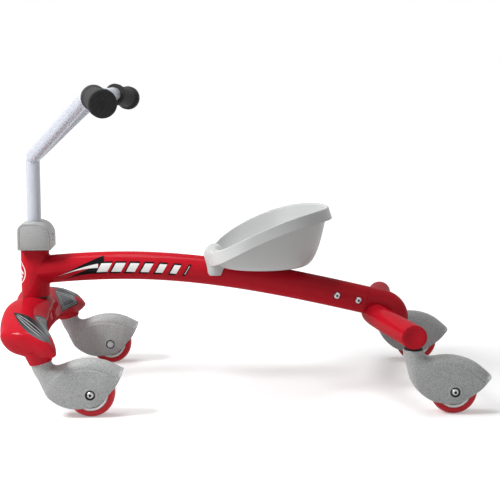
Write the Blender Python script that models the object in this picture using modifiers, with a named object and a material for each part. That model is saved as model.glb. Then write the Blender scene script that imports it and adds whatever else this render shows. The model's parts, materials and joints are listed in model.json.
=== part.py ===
"""Four-wheeled wiggle car: a red tube frame, a steered fork on two fixed wheels, a bucket seat that
slides along the frame, and two rear wheels on swivelling housings.

Metres, +Z up, the rider's left at -Y, the floor at Z = 0 and the origin under the middle of the toy.
Places below are measured rearwards from the steering axis and up from the axles of the wheels.
"""
import math

import bmesh
import bpy
from mathutils import Matrix, Vector

# Overall sizes
WHEEL_BASE = 0.579
WHEEL_TRACK = 0.340
WHEEL_RADIUS = 0.038
WHEEL_WIDTH = 0.024
FRONT_AXLE_X = 0.112
COWL_FRONT = -0.0412
TAIL_REACH = 0.0612

# Clearances
FIT_GAP = 0.0003
SLIDE_GAP = 0.0010
WELL_SIDE_GAP = 0.0018
WELL_TREAD_GAP = 0.0035

# Frame tube, an arch from the head tube back to the rear yoke
FRAME_RADIUS = 0.024
FRAME_WALL = 0.0025
FRAME_FRONT_Z = 0.168
ARCH_TOP_X = 0.150
ARCH_TOP_Z = 0.176
SEAM_TO_REAR_AXLE = 0.121
SEAM_ABOVE_ARM = 0.023
REAR_SLOPE = -0.235
HEAD_RADIUS = 0.024
HEAD_BORE = 0.0200
HEAD_BOTTOM = 0.1246
HEAD_TOP = 0.2050

# Rear yoke
ARM_HALF_LENGTH_X = 0.0205
ARM_HALF_HEIGHT = 0.0195
ARM_SWEEP = 0.0335886
ARM_BEND = 0.030
ARM_BACK_OF_PIN = 0.006
ARM_PAST_TRACK = 0.019
ELBOW_RUN = 0.033
ELBOW_BEND = 0.026
ELBOW_FOOT_DROP = 0.021
SPIGOT_LENGTH = 0.090
CAP_THICKNESS = 0.0030
CAP_SPIGOT = 0.0055
YOKE_BOLT_SETBACKS = (0.014, 0.051)
YOKE_BOLT_RADIUS = 0.0030

# Swivel stack between the yoke arm and a rear housing
NECK_RADIUS = 0.0165
NECK_TOP = 0.066
NECK_LEAD = 0.065
WASHER_THICKNESS = 0.0020
BUSH_FLANGE = 0.0017
BUSH_RADIUS = 0.0095
BUSH_LENGTH = 0.0300
SLEEVE_WALL = 0.0030
PIN_RADIUS = 0.0050
PIN_IN_NECK = 0.0250
PIN_IN_BUSH = 0.0285

# Wheel housing
HOUSING_HALF_WIDTH = 0.0195
CROWN_DEPTH = 0.016
CHEEK_STEP = 0.0011
CHEEK_EDGE = 0.0025
CHEEK_BOSS_RADIUS = 0.0125
CHEEK_BOSS_RISE = 0.0008
BOLT_RECESS_RADIUS = 0.0078
BOLT_RECESS_DEPTH = 0.0035
INNER_BOSS_RADIUS = 0.0075
FRONT_LEAN = math.radians(13.5)

# Axle and bearings
AXLE_RADIUS = 0.0037
AXLE_HEAD_RADIUS = 0.0060
BEARING_RADIUS = 0.0110
BEARING_BORE = 0.0040
BEARING_WIDTH = 0.0070
SLEEVE_RADIUS = 0.0060
HUB_RADIUS = 0.0287

# Steering
COLUMN_RADIUS = 0.0150
STEM_RADIUS = 0.0120
STEM_BOTTOM = 0.165
COLUMN_TOP = 0.243
COLLAR_FRONT = -0.024
COLLAR_REAR = 0.031
COLLAR_HEIGHT = 0.0465
COLLAR_HALF_WIDTH = 0.035
COLLAR_FRONT_ROUND = 0.014
COLLAR_REAR_ROUND = 0.027
COLLAR_RIM = 0.0038
COVER_THICKNESS = 0.0015
BAR_RADIUS = 0.0125
GRIP_RADIUS = 0.0190
GRIP_END_RADIUS = 0.0222
GRIP_END_Y = 0.250
GRIP_START_Y = 0.172
GRIP_WALL = 0.0035

# Seat
SEAT_FRONT = 0.305
SEAT_MIDDLE = 0.385
SEAT_REAR = 0.504
SEAT_HALF_WIDTH = 0.109
SEAT_RIM_Z = 0.278
SEAT_RIM_DROP = 0.075
SEAT_BOTTOM_Z = 0.175
SEAT_WALL = 0.0038
SEAT_BAND = 0.020
SEAT_BAND_FLARE = 0.007
SEAT_FLOOR_Z = 0.192
SEAT_TRAVEL = 0.064
SEAT_BOLT_X = 0.400
SEAT_BOLT_RADIUS = 0.0040

# Colours
RED = (0.50, 0.012, 0.022)
SILVER = (0.52, 0.52, 0.58)
GREY = (0.36, 0.37, 0.37)
BLACK = (0.012, 0.012, 0.012)
WHITE = (0.80, 0.80, 0.80)
STEEL = (0.60, 0.60, 0.62)

SIDES = (("left", -1), ("right", 1))
HALF_TRACK = WHEEL_TRACK / 2
REAR_AXLE_X = FRONT_AXLE_X + WHEEL_BASE
MIDDLE_X = (COWL_FRONT + REAR_AXLE_X + TAIL_REACH) / 2
SWIVEL_X = REAR_AXLE_X - NECK_LEAD
ARM_Z = NECK_TOP + WASHER_THICKNESS + BUSH_FLANGE + 3 * FIT_GAP + ARM_HALF_HEIGHT
ARM_END_Y = HALF_TRACK + ARM_PAST_TRACK
SEAM_X = REAR_AXLE_X - SEAM_TO_REAR_AXLE
SEAM_Z = ARM_Z + SEAM_ABOVE_ARM
TYRE_BORE = HUB_RADIUS + FIT_GAP


# Scene and small helpers

def clear_scene():
    for old in list(bpy.data.objects):
        bpy.data.objects.remove(old, do_unlink=True)


def make_collection(name):
    collection = bpy.data.collections.new(name)
    bpy.context.scene.collection.children.link(collection)
    return collection


def make_material(name, colour, roughness, metallic=0.0):
    material = bpy.data.materials.new(name)
    material.use_nodes = True
    shader = material.node_tree.nodes["Principled BSDF"]
    shader.inputs["Base Color"].default_value = (*colour, 1.0)
    shader.inputs["Roughness"].default_value = roughness
    shader.inputs["Metallic"].default_value = metallic
    material.diffuse_color = (*colour, 1.0)
    return material


clear_scene()
PARTS = make_collection("wiggle_car")
CUTTERS = make_collection("cutters")
AXLE_LINE = bpy.data.objects.new("axle_line", None)
AXLE_LINE.location = (-MIDDLE_X, 0.0, WHEEL_RADIUS)
PARTS.objects.link(AXLE_LINE)


def make_pivot(name, place, parent=AXLE_LINE, turn=(0.0, 0.0, 0.0)):
    pivot = bpy.data.objects.new(name, None)
    pivot.location = place
    pivot.rotation_euler = turn
    pivot.parent = parent
    PARTS.objects.link(pivot)
    return pivot


def add_part(obj, parent=AXLE_LINE, finish=None, place=None, turn=None):
    """Put an object in the parts collection, hung on its pivot."""
    for collection in list(obj.users_collection):
        collection.objects.unlink(obj)
    PARTS.objects.link(obj)
    obj.parent = parent
    if place is not None:
        obj.location = place
    if turn is not None:
        obj.rotation_euler = turn
    if finish is not None:
        name, colour, roughness, metallic = finish
        obj.data.materials.clear()
        obj.data.materials.append(make_material(obj.name + "_" + name, colour, roughness, metallic))
    return obj


def add_cutter(obj, parent=AXLE_LINE):
    """Put an object among the cutters, where it is never built."""
    for collection in list(obj.users_collection):
        collection.objects.unlink(obj)
    CUTTERS.objects.link(obj)
    if obj.parent is None:
        obj.parent = parent
    obj.hide_render = True
    obj.display_type = "WIRE"
    return obj


def boolean(target, tool, operation, parent=AXLE_LINE):
    add_cutter(tool, parent)
    modifier = target.modifiers.new(operation.lower() + "_" + tool.name, "BOOLEAN")
    modifier.operation = operation
    modifier.solver = "EXACT"
    modifier.object = tool


def cut(target, tool, parent=AXLE_LINE):
    boolean(target, tool, "DIFFERENCE", parent)


def join(target, tool, parent=AXLE_LINE):
    boolean(target, tool, "UNION", parent)


def object_from_bmesh(name, bm):
    bmesh.ops.recalc_face_normals(bm, faces=bm.faces)
    mesh = bpy.data.meshes.new(name)
    bm.to_mesh(mesh)
    bm.free()
    obj = bpy.data.objects.new(name, mesh)
    bpy.context.scene.collection.objects.link(obj)
    mesh.shade_smooth()
    mesh.set_sharp_from_angle(angle=math.radians(35))
    return obj


def cylinder(name, radius, start, end, segments=24, end_radius=None):
    """A round bar between two points, or a cone frustum."""
    start, end = Vector(start), Vector(end)
    bm = bmesh.new()
    bmesh.ops.create_cone(bm, cap_ends=True, segments=segments, radius1=radius,
                          radius2=radius if end_radius is None else end_radius,
                          depth=(end - start).length)
    turn = (end - start).to_track_quat("Z", "Y").to_matrix().to_4x4()
    bmesh.ops.transform(bm, matrix=Matrix.Translation((start + end) / 2) @ turn, verts=bm.verts)
    return object_from_bmesh(name, bm)


def turned(name, profile, segments=24, closed=True):
    """A turned shape about local Z. The profile runs down its outer side, as (radius, height)."""
    mesh = bpy.data.meshes.new(name)
    edges = [(i, i + 1) for i in range(len(profile) - 1)]
    if closed:
        edges.append((len(profile) - 1, 0))
    mesh.from_pydata([(radius, 0.0, height) for radius, height in profile], edges, [])
    obj = bpy.data.objects.new(name, mesh)
    bpy.context.scene.collection.objects.link(obj)
    screw = obj.modifiers.new("turn", "SCREW")
    screw.steps = segments
    screw.render_steps = segments
    screw.use_merge_vertices = True
    screw.merge_threshold = 0.00001
    return obj


def hex_nut(name, corner_radius, bore, low, high):
    """A hexagonal nut about local Z with a round hole."""
    segments = 12
    rows = []
    for radius, height in ((corner_radius, low), (corner_radius, high), (bore, high), (bore, low)):
        row = []
        for i in range(segments):
            angle = 2 * math.pi * i / segments
            reach = radius * math.cos(math.pi / 6) if i % 2 and radius == corner_radius else radius
            row.append(Vector((reach * math.cos(angle), reach * math.sin(angle), height)))
        rows.append(row)
    return ring_of_rows(name, rows)


def ring_of_rows(name, rows):
    """A closed ring-shaped body through rows of points, whose last row joins its first."""
    bm = bmesh.new()
    rows = [[bm.verts.new(point) for point in row] for row in rows]
    count = len(rows[0])
    for first, second in zip(rows, rows[1:] + rows[:1]):
        for i in range(count):
            j = (i + 1) % count
            bm.faces.new((first[i], first[j], second[j], second[i]))
    return object_from_bmesh(name, bm)


def loft(name, rings):
    """A closed body through rings of points, with a flat face on each end."""
    bm = bmesh.new()
    rows = [[bm.verts.new(point) for point in ring] for ring in rings]
    count = len(rows[0])
    for first, second in zip(rows, rows[1:]):
        for i in range(count):
            j = (i + 1) % count
            bm.faces.new((first[i], first[j], second[j], second[i]))
    bm.faces.new(rows[0])
    bm.faces.new(list(reversed(rows[-1])))
    return object_from_bmesh(name, bm)


def curve_to_mesh(curve):
    """Turn a curve object into a mesh object with its caps welded on."""
    bpy.context.view_layer.update()
    evaluated = curve.evaluated_get(bpy.context.evaluated_depsgraph_get())
    mesh = bpy.data.meshes.new_from_object(evaluated)
    bm = bmesh.new()
    bm.from_mesh(mesh)
    bmesh.ops.remove_doubles(bm, verts=bm.verts, dist=0.00001)
    bmesh.ops.recalc_face_normals(bm, faces=bm.faces)
    bm.to_mesh(mesh)
    bm.free()
    name, matrix = curve.name, curve.matrix_world.copy()
    bpy.data.objects.remove(curve, do_unlink=True)
    obj = bpy.data.objects.new(name, mesh)
    obj.matrix_world = matrix
    bpy.context.scene.collection.objects.link(obj)
    mesh.shade_smooth()
    mesh.set_sharp_from_angle(angle=math.radians(35))
    return obj


def tube(name, points, radius, resolution=4):
    """A round bar swept along points, with 4 * (resolution + 1) - 4 sides or so, ends capped."""
    data = bpy.data.curves.new(name, "CURVE")
    data.dimensions = "3D"
    data.bevel_depth = radius
    data.bevel_resolution = resolution
    data.use_fill_caps = True
    spline = data.splines.new("POLY")
    spline.points.add(len(points) - 1)
    for slot, point in zip(spline.points, points):
        slot.co = (*point, 1.0)
    curve = bpy.data.objects.new(name, data)
    bpy.context.scene.collection.objects.link(curve)
    return curve_to_mesh(curve)


def plate(name, outline, y_low, y_high):
    """A flat outline of (x, z) points given a thickness across Y."""
    data = bpy.data.curves.new(name, "CURVE")
    data.dimensions = "2D"
    data.fill_mode = "BOTH"
    data.extrude = (y_high - y_low) / 2
    spline = data.splines.new("POLY")
    spline.points.add(len(outline) - 1)
    for slot, (x, z) in zip(spline.points, outline):
        slot.co = (x, z, 0.0, 1.0)
    spline.use_cyclic_u = True
    curve = bpy.data.objects.new(name, data)
    bpy.context.scene.collection.objects.link(curve)
    curve.matrix_world = Matrix.Translation((0, (y_low + y_high) / 2, 0)) @ Matrix.Rotation(math.pi / 2, 4, "X")
    solid = curve_to_mesh(curve)
    solid.data.transform(solid.matrix_world)
    solid.matrix_world = Matrix.Identity(4)
    return solid


def arc(centre, radius, start, end, steps):
    """Points of an arc in the X-Z plane, with its angles in degrees."""
    points = []
    for i in range(steps + 1):
        angle = math.radians(start + (end - start) * i / steps)
        points.append((centre[0] + radius * math.cos(angle), centre[1] + radius * math.sin(angle)))
    return points


def rounded_path(corners, steps=7):
    """Points along straight runs whose corners, given as (point, radius), are rounded."""
    places = [Vector(place) for place, _ in corners]
    points = [places[0]]
    for i in range(1, len(corners) - 1):
        back = (places[i - 1] - places[i]).normalized()
        ahead = (places[i + 1] - places[i]).normalized()
        half = back.angle(ahead) / 2
        radius = corners[i][1]
        start = places[i] + back * radius / math.tan(half)
        centre = places[i] + (back + ahead).normalized() * radius / math.sin(half)
        arm = start - centre
        axis = arm.cross(-back).normalized()
        sweep = math.pi - 2 * half
        for k in range(steps + 1):
            points.append(centre + Matrix.Rotation(sweep * k / steps, 3, axis) @ arm)
    points.append(places[-1])
    return points


def mix(a, b, share):
    return a + (b - a) * share


def freeze(obj):
    """The finished mesh of an object with its modifiers, for pieces that are used several times."""
    bpy.context.view_layer.update()
    evaluated = obj.evaluated_get(bpy.context.evaluated_depsgraph_get())
    mesh = bpy.data.meshes.new_from_object(evaluated)
    mesh.name = obj.name
    add_cutter(obj)
    return mesh


# The arch of the frame tube, two Bezier spans that meet level at its top

def arch_spans():
    top = Vector((ARCH_TOP_X, ARCH_TOP_Z))
    front = Vector((0.0, FRAME_FRONT_Z))
    seam = Vector((SEAM_X, SEAM_Z))
    rear_reach = (SEAM_X - ARCH_TOP_X) / 3
    front_reach = ARCH_TOP_X / 3
    return (
        (front, front + Vector((front_reach, 0.6 * (ARCH_TOP_Z - FRAME_FRONT_Z))),
         top - Vector((front_reach, 0.0)), top),
        (top, top + Vector((rear_reach, 0.0)),
         seam - Vector((rear_reach, REAR_SLOPE * rear_reach)), seam),
    )


def bezier(span, share):
    a, b, c, d = span
    rest = 1 - share
    return a * rest ** 3 + b * 3 * rest ** 2 * share + c * 3 * rest * share ** 2 + d * share ** 3


def arch_height(x):
    """Height of the tube's centre line at x, extended straight past its seam."""
    if x > SEAM_X:
        return SEAM_Z + REAR_SLOPE * (x - SEAM_X)
    span = arch_spans()[0 if x <= ARCH_TOP_X else 1]
    low, high = 0.0, 1.0
    for _ in range(40):
        middle = (low + high) / 2
        if bezier(span, middle).x < x:
            low = middle
        else:
            high = middle
    return bezier(span, (low + high) / 2).y


def arch_points(start, end, steps):
    xs = [mix(start, end, i / steps) for i in range(steps + 1)]
    return [Vector((x, 0.0, arch_height(x))) for x in xs]


def slide_direction():
    """The seat slides along the chord of the tube under its bolt's travel."""
    end = SEAT_BOLT_X + SEAT_TRAVEL
    chord = Vector((SEAT_TRAVEL, 0.0, arch_height(end) - arch_height(SEAT_BOLT_X)))
    return chord.normalized()


# Frame

def make_main_frame():
    frame = tube("main_frame", arch_points(0.004, SEAM_X, 13), FRAME_RADIUS, 6)
    add_part(frame, finish=("paint", RED, 0.22, 0.0))
    join(frame, cylinder("head_tube_form", HEAD_RADIUS, (0, 0, HEAD_BOTTOM), (0, 0, HEAD_TOP), 26))
    cut(frame, cylinder("head_bore", HEAD_BORE, (0, 0, HEAD_BOTTOM - 0.01), (0, 0, HEAD_TOP + 0.01), 24))
    inner = arch_points(HEAD_RADIUS + 0.001, SEAM_X + 0.012, 11)
    cut(frame, tube("frame_bore", inner, FRAME_RADIUS - FRAME_WALL, 4))
    cut(frame, seat_slot())
    for index, setback in enumerate(YOKE_BOLT_SETBACKS):
        cut(frame, yoke_bolt_cutter("frame_bolt_cut_%d" % index, setback))
    return frame


def seat_slot():
    """The slot in the top of the tube along which the seat bolt travels."""
    width = SEAT_BOLT_RADIUS + 2 * FIT_GAP
    start = SEAT_BOLT_X - width
    end = SEAT_BOLT_X + slide_direction().x * SEAT_TRAVEL + width
    low = min(arch_height(start), arch_height(end))
    outline = [(start, low), (end, low), (end, low + 2 * FRAME_RADIUS), (start, low + 2 * FRAME_RADIUS)]
    return plate("seat_slot", outline, -width, width)


def yoke_bolt_place(setback):
    x = SEAM_X - setback
    return x, arch_height(x)


def yoke_bolt_cutter(name, setback):
    """A cross hole with a flat seat for the bolt head and the nut."""
    x, z = yoke_bolt_place(setback)
    seat = bolt_seat_y()
    hole = YOKE_BOLT_RADIUS + FIT_GAP
    outer = FRAME_RADIUS + 0.01
    profile = [(0.0, outer), (0.0072, outer), (0.0072, seat), (hole, seat), (hole, -seat),
               (0.0072, -seat), (0.0072, -outer), (0.0, -outer)]
    tool = turned(name, profile, 14, closed=False)
    tool.location = (x, 0.0, z)
    tool.rotation_euler = (math.pi / 2, 0.0, 0.0)
    return tool


def bolt_seat_y():
    return FRAME_RADIUS - 0.0014


def elbow_points(end_cover):
    """Centre line of the elbow, from its seam down to its closed foot."""
    seam = Vector((SEAM_X, 0.0, SEAM_Z))
    direction = Vector((1.0, 0.0, REAR_SLOPE)).normalized()
    turn = math.pi / 2 - math.atan(-REAR_SLOPE)
    bend_start = seam + direction * ELBOW_RUN
    centre = bend_start + Vector((direction.z, 0.0, -direction.x)) * ELBOW_BEND
    points = [seam + direction * FIT_GAP]
    steps = 6
    for i in range(steps + 1):
        points.append(centre + Matrix.Rotation(turn * i / steps, 3, "Y") @ (bend_start - centre))
    foot = points[-1].copy()
    foot.z = ARM_Z - ELBOW_FOOT_DROP + end_cover
    points.append(foot)
    return points


def make_yoke():
    yoke = tube("rear_yoke", elbow_points(0.0), FRAME_RADIUS, 6)
    add_part(yoke, finish=("paint", RED, 0.22, 0.0))
    join(yoke, loft("yoke_arms", arm_rings(0.0, 0.0)))
    spigot = arch_points(SEAM_X - SPIGOT_LENGTH, SEAM_X + 0.010, 4)
    spigot_radius = FRAME_RADIUS - FRAME_WALL - FIT_GAP
    join(yoke, tube("yoke_spigot", spigot, spigot_radius, 4))
    hollow = arch_points(SEAM_X - SPIGOT_LENGTH - 0.010, SEAM_X - 0.004, 4)
    hollow += elbow_points(FRAME_WALL + ELBOW_BEND * 0.2)
    cut(yoke, tube("yoke_hollow", hollow, spigot_radius - FRAME_WALL, 4))
    cut(yoke, loft("arm_hollow", arm_rings(FRAME_WALL, 0.010)))
    for side, sign in SIDES:
        bottom = ARM_Z - ARM_HALF_HEIGHT
        y = sign * HALF_TRACK
        join(yoke, cylinder("swivel_sleeve_" + side, BUSH_RADIUS + SLEEVE_WALL, (SWIVEL_X, y, bottom),
                            (SWIVEL_X, y, bottom + BUSH_LENGTH + SLEEVE_WALL), 20))
        cut(yoke, cylinder("bush_hole_" + side, BUSH_RADIUS + FIT_GAP, (SWIVEL_X, y, bottom - 0.010),
                           (SWIVEL_X, y, bottom + BUSH_LENGTH + FIT_GAP), 18))
    for index, setback in enumerate(YOKE_BOLT_SETBACKS):
        x, z = yoke_bolt_place(setback)
        hole = YOKE_BOLT_RADIUS + FIT_GAP
        cut(yoke, cylinder("yoke_bolt_hole_%d" % index, hole, (x, -0.04, z), (x, 0.04, z), 12))
    return yoke


def arm_x(y):
    """Centre of the yoke arm at a distance y from the middle: a V with a soft bend."""
    end = math.hypot(HALF_TRACK, ARM_BEND) - ARM_BEND
    here = math.hypot(y, ARM_BEND) - ARM_BEND
    return SWIVEL_X - ARM_BACK_OF_PIN + ARM_SWEEP * (here / end - 1.0)


def arm_ring(y, shrink=0.0, segments=18):
    ring = []
    for i in range(segments):
        angle = 2 * math.pi * i / segments
        ring.append(Vector((arm_x(y) + (ARM_HALF_LENGTH_X - shrink) * math.cos(angle), y,
                            ARM_Z + (ARM_HALF_HEIGHT - shrink) * math.sin(angle))))
    return ring


def arm_rings(shrink, overrun):
    """Rings along both arms, all of one section, which may run on past the ends."""
    count = 8
    end = ARM_END_Y + overrun
    return [arm_ring(mix(-end, end, i / count), shrink) for i in range(count + 1)]


def make_yoke_caps():
    for side, sign in SIDES:
        face = ARM_END_Y + FIT_GAP
        rings = []
        for reach, shrink in ((0.0, 0.0), (CAP_THICKNESS - 0.0012, 0.0), (CAP_THICKNESS, 0.0012)):
            ring = arm_ring(ARM_END_Y, shrink)
            for point in ring:
                point.y = sign * (face + reach)
            rings.append(ring)
        cap = loft(side + "_yoke_cap", rings)
        add_part(cap, finish=("plastic", RED, 0.30, 0.0))
        depths = (face - CAP_SPIGOT, face + CAP_THICKNESS / 2)
        plug = loft(side + "_cap_plug", [arm_ring(sign * y, FRAME_WALL + FIT_GAP) for y in depths])
        join(cap, plug)


def make_yoke_bolts():
    seat = bolt_seat_y() + FIT_GAP
    tip = FRAME_RADIUS + 0.002
    hole = YOKE_BOLT_RADIUS + FIT_GAP
    bolt_profile = [(0.0, seat + 0.0036), (0.0034, seat + 0.0032), (0.0055, seat + 0.0012), (0.0055, seat),
                    (YOKE_BOLT_RADIUS, seat), (YOKE_BOLT_RADIUS, -tip), (0.0, -tip)]
    for where, setback in zip(("rear", "front"), YOKE_BOLT_SETBACKS):
        x, z = yoke_bolt_place(setback)
        bolt = turned(where + "_yoke_bolt", bolt_profile, 16, closed=False)
        nut = hex_nut(where + "_yoke_nut", 0.0057, hole, -seat - 0.0040, -seat)
        for piece in (bolt, nut):
            add_part(piece, AXLE_LINE, ("zinc", STEEL, 0.30, 1.0), (x, 0.0, z), (math.pi / 2, 0.0, 0.0))


def make_head_bushes():
    bore = COLUMN_RADIUS + FIT_GAP
    outer = HEAD_BORE - FIT_GAP
    flange = HEAD_RADIUS - 0.0005
    for name, face, way in (("upper_head_bush", HEAD_TOP, 1), ("lower_head_bush", HEAD_BOTTOM, -1)):
        near, far = face + way * FIT_GAP, face + way * (FIT_GAP + BUSH_FLANGE)
        deep = face - way * 0.014
        profile = [(bore, far), (flange, far), (flange, near), (outer, near), (outer, deep), (bore, deep)]
        if way < 0:
            profile = [(bore, deep), (outer, deep), (outer, near), (flange, near), (flange, far), (bore, far)]
        add_part(turned(name, profile, 20), finish=("nylon", BLACK, 0.5, 0.0))


# Wheels

def make_wheel_meshes():
    half = WHEEL_WIDTH / 2
    tread = [(TYRE_BORE, half), (WHEEL_RADIUS - 0.0030, half - 0.0004), (WHEEL_RADIUS, half - 0.0050)]
    tyre = tread + [(radius, -height) for radius, height in reversed(tread)]
    face = half - 0.0002
    seat = face - BEARING_WIDTH - 0.0004
    side = [(HUB_RADIUS, half - 0.0008), (HUB_RADIUS - 0.0042, half - 0.0008), (HUB_RADIUS - 0.0052, 0.0060),
            (BEARING_RADIUS + 0.0035, 0.0060), (BEARING_RADIUS + 0.0028, face), (BEARING_RADIUS + FIT_GAP, face),
            (BEARING_RADIUS + FIT_GAP, seat), (BEARING_RADIUS - 0.003, seat)]
    hub = side[:1] + [(radius, -height) for radius, height in side] + side[:0:-1]
    return turned("tyre_form", tyre, 24), turned("hub_form", hub, 14)


def make_bearing_form():
    """Both bearings of a wheel and the sleeve that keeps them apart."""
    face = WHEEL_WIDTH / 2 - 0.0003
    back = face - BEARING_WIDTH
    profile = [(BEARING_BORE, face), (BEARING_RADIUS, face), (BEARING_RADIUS, back), (SLEEVE_RADIUS, back)]
    profile += [(radius, -height) for radius, height in reversed(profile)]
    return turned("bearing_form", profile, 14)


# Wheel housing, one moulding used four times: stations run from the neck to the tail.
# Each is (upper x, upper z, lower x, lower z, half width, roundness), from the axle, in metres.

HOUSING_STATIONS = (
    (-0.0475, 0.0590, -0.0800, 0.0520, 0.0165, 1.00),
    (-0.0425, 0.0562, -0.0768, 0.0380, 0.0173, 0.80),
    (-0.0335, 0.0562, -0.0725, 0.0240, 0.0184, 0.45),
    (-0.0215, 0.0583, -0.0660, 0.0100, 0.0193, 0.15),
    (-0.0080, 0.0590, -0.0540, -0.0040, 0.0195, 0.00),
    (0.0080, 0.0570, -0.0380, -0.0165, 0.0195, 0.00),
    (0.0240, 0.0515, -0.0160, -0.0235, 0.0195, 0.00),
    (0.0380, 0.0435, 0.0060, -0.0235, 0.0195, 0.00),
    (0.0490, 0.0350, 0.0260, -0.0125, 0.0195, 0.00),
    (0.0570, 0.0280, 0.0440, 0.0010, 0.0193, 0.00),
    (TAIL_REACH, 0.0238, 0.0580, 0.0180, 0.0188, 0.00),
)


def housing_ring(station):
    """A section of the housing: a round crown above flat cheeks, or an ellipse at the neck."""
    upper = Vector((station[0], 0.0, station[1]))
    lower = Vector((station[2], 0.0, station[3]))
    width = station[4] * HOUSING_HALF_WIDTH / 0.0195
    roundness = station[5]
    centre = (upper + lower) / 2
    up = (upper - lower).normalized()
    half = (upper - lower).length / 2
    crown = min(mix(CROWN_DEPTH, half, roundness), 1.1 * half)
    step = CHEEK_STEP * (1 - roundness)
    edge_y = mix(CHEEK_EDGE, width, roundness)
    edge_z = min(mix(CHEEK_EDGE, half, roundness), 2 * half - crown - 0.0002)
    side = []
    for angle in (28, 58, 90):
        side.append((math.sin(math.radians(angle)) * (width - step),
                     half - crown + crown * math.cos(math.radians(angle))))
    side.append((width, half - crown - 0.0006 - step * 0.5))
    for angle in (8, 45, 82):
        side.append((width - edge_y + edge_y * math.cos(math.radians(angle)),
                     -half + edge_z - edge_z * math.sin(math.radians(angle))))
    points = [(0.0, half)] + side + [(0.0, -half)] + [(-y, z) for y, z in reversed(side)]
    return [centre + Vector((0.0, y, 0.0)) + up * z for y, z in points]


def neck_ring(drop, radius):
    """A round section of the neck at a distance below its top."""
    count = len(housing_ring(HOUSING_STATIONS[0]))
    reference = housing_ring(HOUSING_STATIONS[0])
    centre = (reference[0] + reference[count // 2]) / 2
    up = (reference[0] - reference[count // 2]).normalized()
    ring = []
    for point in reference:
        across = math.atan2(point.y, (point - centre).dot(up))
        ring.append(Vector((-NECK_LEAD + radius * math.cos(across), radius * math.sin(across), NECK_TOP - drop)))
    return ring


def well_outline():
    """The opening for the wheel, from the front of the wheel over its tread to the tail."""
    reach = WHEEL_RADIUS + WELL_TREAD_GAP
    over = arc((0.0, 0.0), reach, 205, 38, 12)
    return over + [(0.0530, 0.0215), (0.0740, -0.0300), (0.0600, -0.0600), (-0.0600, -0.0600)]


def make_housing_mesh():
    neck = [neck_ring(0.0, NECK_RADIUS), neck_ring(0.0045, NECK_RADIUS)]
    form = loft("housing_form", neck + [housing_ring(station) for station in HOUSING_STATIONS])
    form.parent = AXLE_LINE
    boss_y = HOUSING_HALF_WIDTH + CHEEK_BOSS_RISE
    join(form, cylinder("cheek_boss", CHEEK_BOSS_RADIUS, (0, -boss_y, 0), (0, boss_y, 0), 20))
    well = WHEEL_WIDTH / 2 + WELL_SIDE_GAP
    cut(form, plate("wheel_well", well_outline(), -well, well))
    for side, sign in SIDES:
        inner = (0, sign * (WHEEL_WIDTH / 2 + FIT_GAP), 0)
        outer = (0, sign * (well + 0.002), 0)
        join(form, cylinder("inner_boss_" + side, INNER_BOSS_RADIUS, inner, outer, 14))
    seat = boss_y - BOLT_RECESS_DEPTH
    bore = AXLE_RADIUS + FIT_GAP
    profile = [(0.0, 0.05), (BOLT_RECESS_RADIUS, 0.05), (BOLT_RECESS_RADIUS, seat), (bore, seat),
               (bore, -seat), (BOLT_RECESS_RADIUS, -seat), (BOLT_RECESS_RADIUS, -0.05), (0.0, -0.05)]
    holes = turned("axle_holes", profile, 16, closed=False)
    holes.rotation_euler = (math.pi / 2, 0.0, 0.0)
    cut(form, holes)
    cut(form, cylinder("pin_bore", PIN_RADIUS + FIT_GAP, (-NECK_LEAD, 0, NECK_TOP - PIN_IN_NECK - FIT_GAP),
                       (-NECK_LEAD, 0, NECK_TOP + 0.01), 14))
    return freeze(form)


def make_axle_meshes():
    """Bolt and nut of one axle, about local Z, with the bolt head at +Z."""
    seat = HOUSING_HALF_WIDTH + CHEEK_BOSS_RISE - BOLT_RECESS_DEPTH + FIT_GAP
    head = 0.0042
    tip = seat + 0.0055
    bolt = turned("axle_bolt_form", [(0.0, seat + head - 0.0022), (0.0026, seat + head - 0.0022),
                                     (0.0030, seat + head), (AXLE_HEAD_RADIUS - 0.0012, seat + head),
                                     (AXLE_HEAD_RADIUS, seat + head - 0.0014), (AXLE_HEAD_RADIUS, seat),
                                     (AXLE_RADIUS, seat), (AXLE_RADIUS, -tip), (0.0, -tip)], 14, closed=False)
    nut = hex_nut("axle_nut_form", 0.0066, AXLE_RADIUS + FIT_GAP, -seat - 0.0046, -seat)
    return bolt, nut


def copy_part(template, name, pivot, finish, turn):
    obj = template.copy()
    obj.data = template.data.copy()
    obj.name = name
    add_part(obj, pivot, finish, (0.0, 0.0, 0.0), turn)
    obj.hide_render = False
    obj.display_type = "TEXTURED"
    return obj


def make_corner(where, sign, pivot, housing_mesh, forms, lean):
    """Everything at one wheel, hung on its axle pivot."""
    tyre, hub, bearings, bolt, nut = forms
    housing = bpy.data.objects.new(where + "_wheel_housing", housing_mesh.copy())
    add_part(housing, pivot, ("plastic", GREY, 0.45, 0.0), (0.0, 0.0, 0.0), (0.0, -lean, 0.0))
    across = (-sign * math.pi / 2, 0.0, 0.0)
    copy_part(tyre, where + "_tyre", pivot, ("urethane", RED, 0.35, 0.0), across)
    copy_part(hub, where + "_hub", pivot, ("nylon", WHITE, 0.40, 0.0), across)
    copy_part(bearings, where + "_bearings", pivot, ("steel", STEEL, 0.25, 1.0), across)
    copy_part(bolt, where + "_axle_bolt", pivot, ("zinc", STEEL, 0.28, 1.0), across)
    copy_part(nut, where + "_axle_nut", pivot, ("zinc", STEEL, 0.28, 1.0), across)


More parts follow.
